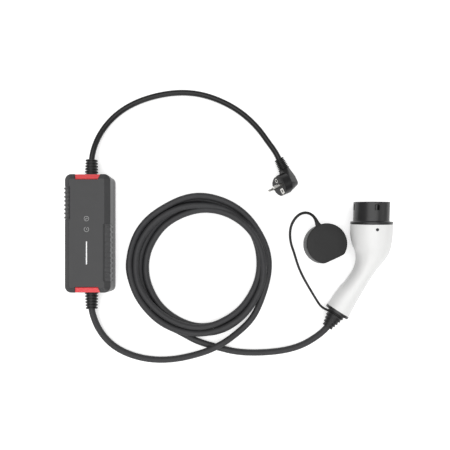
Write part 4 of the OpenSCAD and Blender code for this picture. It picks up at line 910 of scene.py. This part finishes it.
def make_cap():
    """Dust cap: loops of the nose's outline, up the inside, over the rim, up the outside and over the rounded top,
    and the flared lug of its tether."""
    turn = np.linspace(0, 2 * np.pi, 180, endpoint=False)
    outer = nose_radius(CAP_R, CAP_FLAT, turn)
    inner = nose_radius(CAP_R - CAP_WALL, CAP_FLAT - CAP_WALL, turn)
    c, s = math.cos(CAP_TURN), math.sin(CAP_TURN)

    def loop(r, z):
        x, y = r * np.cos(turn), r * np.sin(turn)
        return np.stack([CAP_AT[0] + x * c - y * s, CAP_AT[1] + x * s + y * c, z * np.ones_like(turn)], axis=-1)

    under = CAP_H - CAP_TOP
    rows = [loop(0.02 * inner, under)]
    rows += [loop(inner + grow, z) for grow, z in ((0, under), (0, 20), (0, 1), (0.4, 0.1), (0.8, 0))]
    rows += [loop(outer + grow, z) for grow, z in (
        (-0.5, 0), (-0.1, 0.2), (0, 0.8), (0, 3.2), (-0.5, 3.6), (-0.5, 4.4), (0, 4.8), (0, 20), (0, CAP_H - 1.6),
        (-0.22, CAP_H - 0.8), (-0.8, CAP_H - 0.22), (-1.6, CAP_H))]
    rows += [loop(outer * 0.5, CAP_H), loop(0.02 * outer, CAP_H)]
    stack("cap_shell", np.array(rows) * MM, "cap_rubber", ("dust_cap",), "poles")
    out = unit(TETHER_ROUTE[0, :2] - CAP_AT)
    reach = np.linspace(LUG_IN, LUG_OUT, 9)
    line = np.column_stack([CAP_AT + reach[:, None] * out, np.linspace(36.7, 35.9, 9)])
    width = 8.4 + 5.5 * ((LUG_OUT - reach) / (LUG_OUT - LUG_IN)) ** 2
    flat_tube("cap_lug", line * MM, width * MM, 4.0 * MM, "cap_rubber")


# ---- operators


class CHARGER_OT_stage(bpy.types.Operator):
    """Pale floor, soft light from above, and the camera above the charger"""
    bl_idname = "charger.stage"
    bl_label = "Stage"

    def execute(self, context):
        scene = context.scene
        scene.view_settings.view_transform = "Standard"
        camera = add_object("camera", bpy.data.cameras.new("camera"))
        camera.location = np.array([238.14, -41.59, 898.12]) * MM
        camera.data.sensor_width, camera.data.lens, camera.data.shift_y = 36.0, 39.478, 0.0719
        scene.camera = camera
        self.floor()
        self.lights(scene)
        return {"FINISHED"}

    def floor(self):
        """A pale floor that camera and mirror rays see a little brighter, so that it is white where unshaded, and
        brighter still far away, so that its edge goes over into the background."""
        corners = np.array([[-6, -6, 0], [6, -6, 0], [6, 6, 0], [-6, 6, 0]], float)
        mesh = bpy.data.meshes.new("floor")
        mesh.from_pydata(corners.tolist(), [], [[0, 1, 2, 3]])
        floor = add_object("floor", mesh)
        floor.location.z = -0.0002
        material = bpy.data.materials.new("studio floor")
        tree = empty_tree(material)
        rays = add_node(tree, "ShaderNodeLightPath").outputs
        seen = add_node(tree, "ShaderNodeMath", {"operation": "MAXIMUM"},
                        {0: rays["Is Camera Ray"], 1: rays["Is Glossy Ray"]})
        place = add_node(tree, "ShaderNodeTexCoord").outputs["Object"]
        away = add_node(tree, "ShaderNodeVectorMath", {"operation": "LENGTH"}, {"Vector": place})
        share = add_node(tree, "ShaderNodeMapRange", {"From Min": 1.0, "From Max": 3.0, "To Min": 0.42, "To Max": 1.0},
                         {"Value": away.outputs["Value"]})
        lift = add_node(tree, "ShaderNodeMath", {"operation": "MULTIPLY"},
                        {0: seen.outputs[0], 1: share.outputs["Result"]})
        glow = add_node(tree, "ShaderNodeEmission", links={"Strength": lift.outputs[0]})
        matt = add_node(tree, "ShaderNodeBsdfDiffuse", {"Color": tuple(settings("finish").floor)})
        both = add_node(tree, "ShaderNodeAddShader", links={0: matt.outputs[0], 1: glow.outputs[0]})
        add_node(tree, "ShaderNodeOutputMaterial", links={"Surface": both.outputs[0]})
        mesh.materials.append(material)

    def lights(self, scene):
        """A wide softbox overhead, weaker ones from the near side and the right, and an even surround."""
        for name, place, power, width in (
                ("overhead", (-0.2, -0.1, 3.3), 92, 4.0), ("near", (0.4, -3.0, 1.6), 28, 2.0),
                ("right", (3.2, 0.2, 2.1), 10, 2.0)):
            lamp = bpy.data.lights.new(name, "AREA")
            lamp.energy, lamp.size = power, width
            obj = add_object(name, lamp)
            obj.location = place
            away = np.array(place) - np.array([0.24, 0.02, 0.02])
            tilt, turn = math.acos(unit(away)[2]), math.atan2(away[1], away[0])
            obj.rotation_euler = (0, tilt, turn)
        scene.world = bpy.data.worlds.new("surround")
        tree = empty_tree(scene.world)
        rays = add_node(tree, "ShaderNodeLightPath")
        strength = add_node(tree, "ShaderNodeMapRange", {"To Min": 0.42, "To Max": 1.0},
                            {"Value": rays.outputs["Is Camera Ray"]})
        back = add_node(tree, "ShaderNodeBackground", {"Color": (1, 1, 1, 1)}, {"Strength": strength.outputs["Result"]})
        add_node(tree, "ShaderNodeOutputWorld", links={"Surface": back.outputs[0]})


class CHARGER_OT_cables(bpy.types.Operator):
    """Charging lead with its coil, mains lead and the cap's tether"""
    bl_idname = "charger.cables"
    bl_label = "Cables"

    def execute(self, context):
        cable = settings("cable")
        lead = spline(np.vstack([LEAD_IN, coil_points(), LEAD_OUT]) * MM, cable.step)
        charging = cable_curve("charging_lead", lead, cable.lead, "ev_sheath",
                               ("ev_cable_lead_in", "ev_cable_coil", "ev_cable_lead_out"))
        mains_line = spline(MAINS_ROUTE * MM, cable.step)
        mains = cable_curve("mains_lead", mains_line, cable.mains, "mains_sheath", ("mains_cable",))
        self.tether(cable)
        plug_nodes = [frame["nodes"][name] for name in (
            "plug_bridge", "plug_pin_line", "plug_pin_neutral", "plug_earth_strap", "plug_earth_socket")]
        make_plug() + [make_earth_clip()] + plug_nodes
        return {"FINISHED"}

    def tether(self, cable):
        """The cap's tether: a flat band that is broad where it leaves the cap."""
        line = spline(TETHER_ROUTE * MM, cable.step / 2)
        run = np.linspace(0, 250, len(line))
        width = np.interp(run, [0, 6, 14, 60, 110, 250], [2.3, 1.9, 1.45, 1.35, 1.2, 1.15]) * cable.tether
        band = flat_tube("tether_line", line, width, 0.85 * cable.tether, "cap_rubber", ("cap_tether",))


class CHARGER_OT_housing(bpy.types.Operator):
    """Covers, grips, trims, light bar and printed symbols of the control box"""
    bl_idname = "charger.housing"
    bl_label = "Control box"

    def execute(self, context):
        make_front_cover()
        softened("rear_cover", "rear_cover_shell", 0.7, "cover_plastic", 30, 3)
        for name in GRIPS:
            make_grip(name)
        make_trim("mains_end_trim", 1)
        make_trim("ev_end_trim", -1)
        make_light_bar()
        make_symbols()
        return {"FINISHED"}


class CHARGER_OT_boots(bpy.types.Operator):
    """Ribbed strain reliefs"""
    bl_idname = "charger.boots"
    bl_label = "Boots"

    def execute(self, context):
        make_boots()
        return {"FINISHED"}


class CHARGER_OT_gun(bpy.types.Operator):
    """Handle, nose, contact carrier and tail rings of the gun"""
    bl_idname = "charger.gun"
    bl_label = "Charging gun"

    def execute(self, context):
        make_handle()
        make_nose()
        softened("contact_carrier", "carrier_block", 0.4, "nose_plastic", 30, 2)
        make_tail()
        return {"FINISHED"}


class CHARGER_OT_cap(bpy.types.Operator):
    """Dust cap"""
    bl_idname = "charger.cap"
    bl_label = "Dust cap"

    def execute(self, context):
        make_cap()
        return {"FINISHED"}


class CHARGER_OT_finish(bpy.types.Operator):
    """Finishes of the pieces that keep the model's own shape"""
    bl_idname = "charger.finish"
    bl_label = "Finishes"

    def execute(self, context):
        known = finishes()
        for part in frame["record"]["subparts"]:
            for slot in frame["nodes"][part["node"]].material_slots:
                slot.material = known[part["material_slot"]]
        return {"FINISHED"}


STEPS = ("stage", "finish", "cables", "housing", "boots", "gun", "cap")


class CHARGER_PT_panel(bpy.types.Panel):
    """Steps and settings of the charger"""
    bl_idname = "CHARGER_PT_panel"
    bl_label = "Charger"
    bl_space_type = "VIEW_3D"
    bl_region_type = "UI"
    bl_category = "Charger"

    def draw(self, context):
        for step in STEPS:
            self.layout.operator("charger." + step)
        for name in GROUPS:
            group = settings(name)
            for key in group.__annotations__:
                self.layout.prop(group, key)


GROUPS = {"box": ChargerBoxSettings, "cable": ChargerCableSettings, "finish": ChargerFinishSettings}
OPERATORS = (CHARGER_OT_stage, CHARGER_OT_finish, CHARGER_OT_cables, CHARGER_OT_housing, CHARGER_OT_boots,
             CHARGER_OT_gun, CHARGER_OT_cap)


def register():
    for group in GROUPS.values():
        bpy.utils.register_class(group)
    for name, group in GROUPS.items():
        setattr(bpy.types.Scene, "charger_" + name, bpy.props.PointerProperty(type=group))
    for item in OPERATORS + (CHARGER_PT_panel,):
        bpy.utils.register_class(item)


def unregister():
    for item in (CHARGER_PT_panel,) + OPERATORS[::-1]:
        bpy.utils.unregister_class(item)
    for name, group in GROUPS.items():
        delattr(bpy.types.Scene, "charger_" + name)
        bpy.utils.unregister_class(group)


def main():
    """Registers the classes and runs every step in order."""
    register()
    for step in STEPS:
        getattr(bpy.ops.charger, step)()


if __name__ == "__main__":
    main()
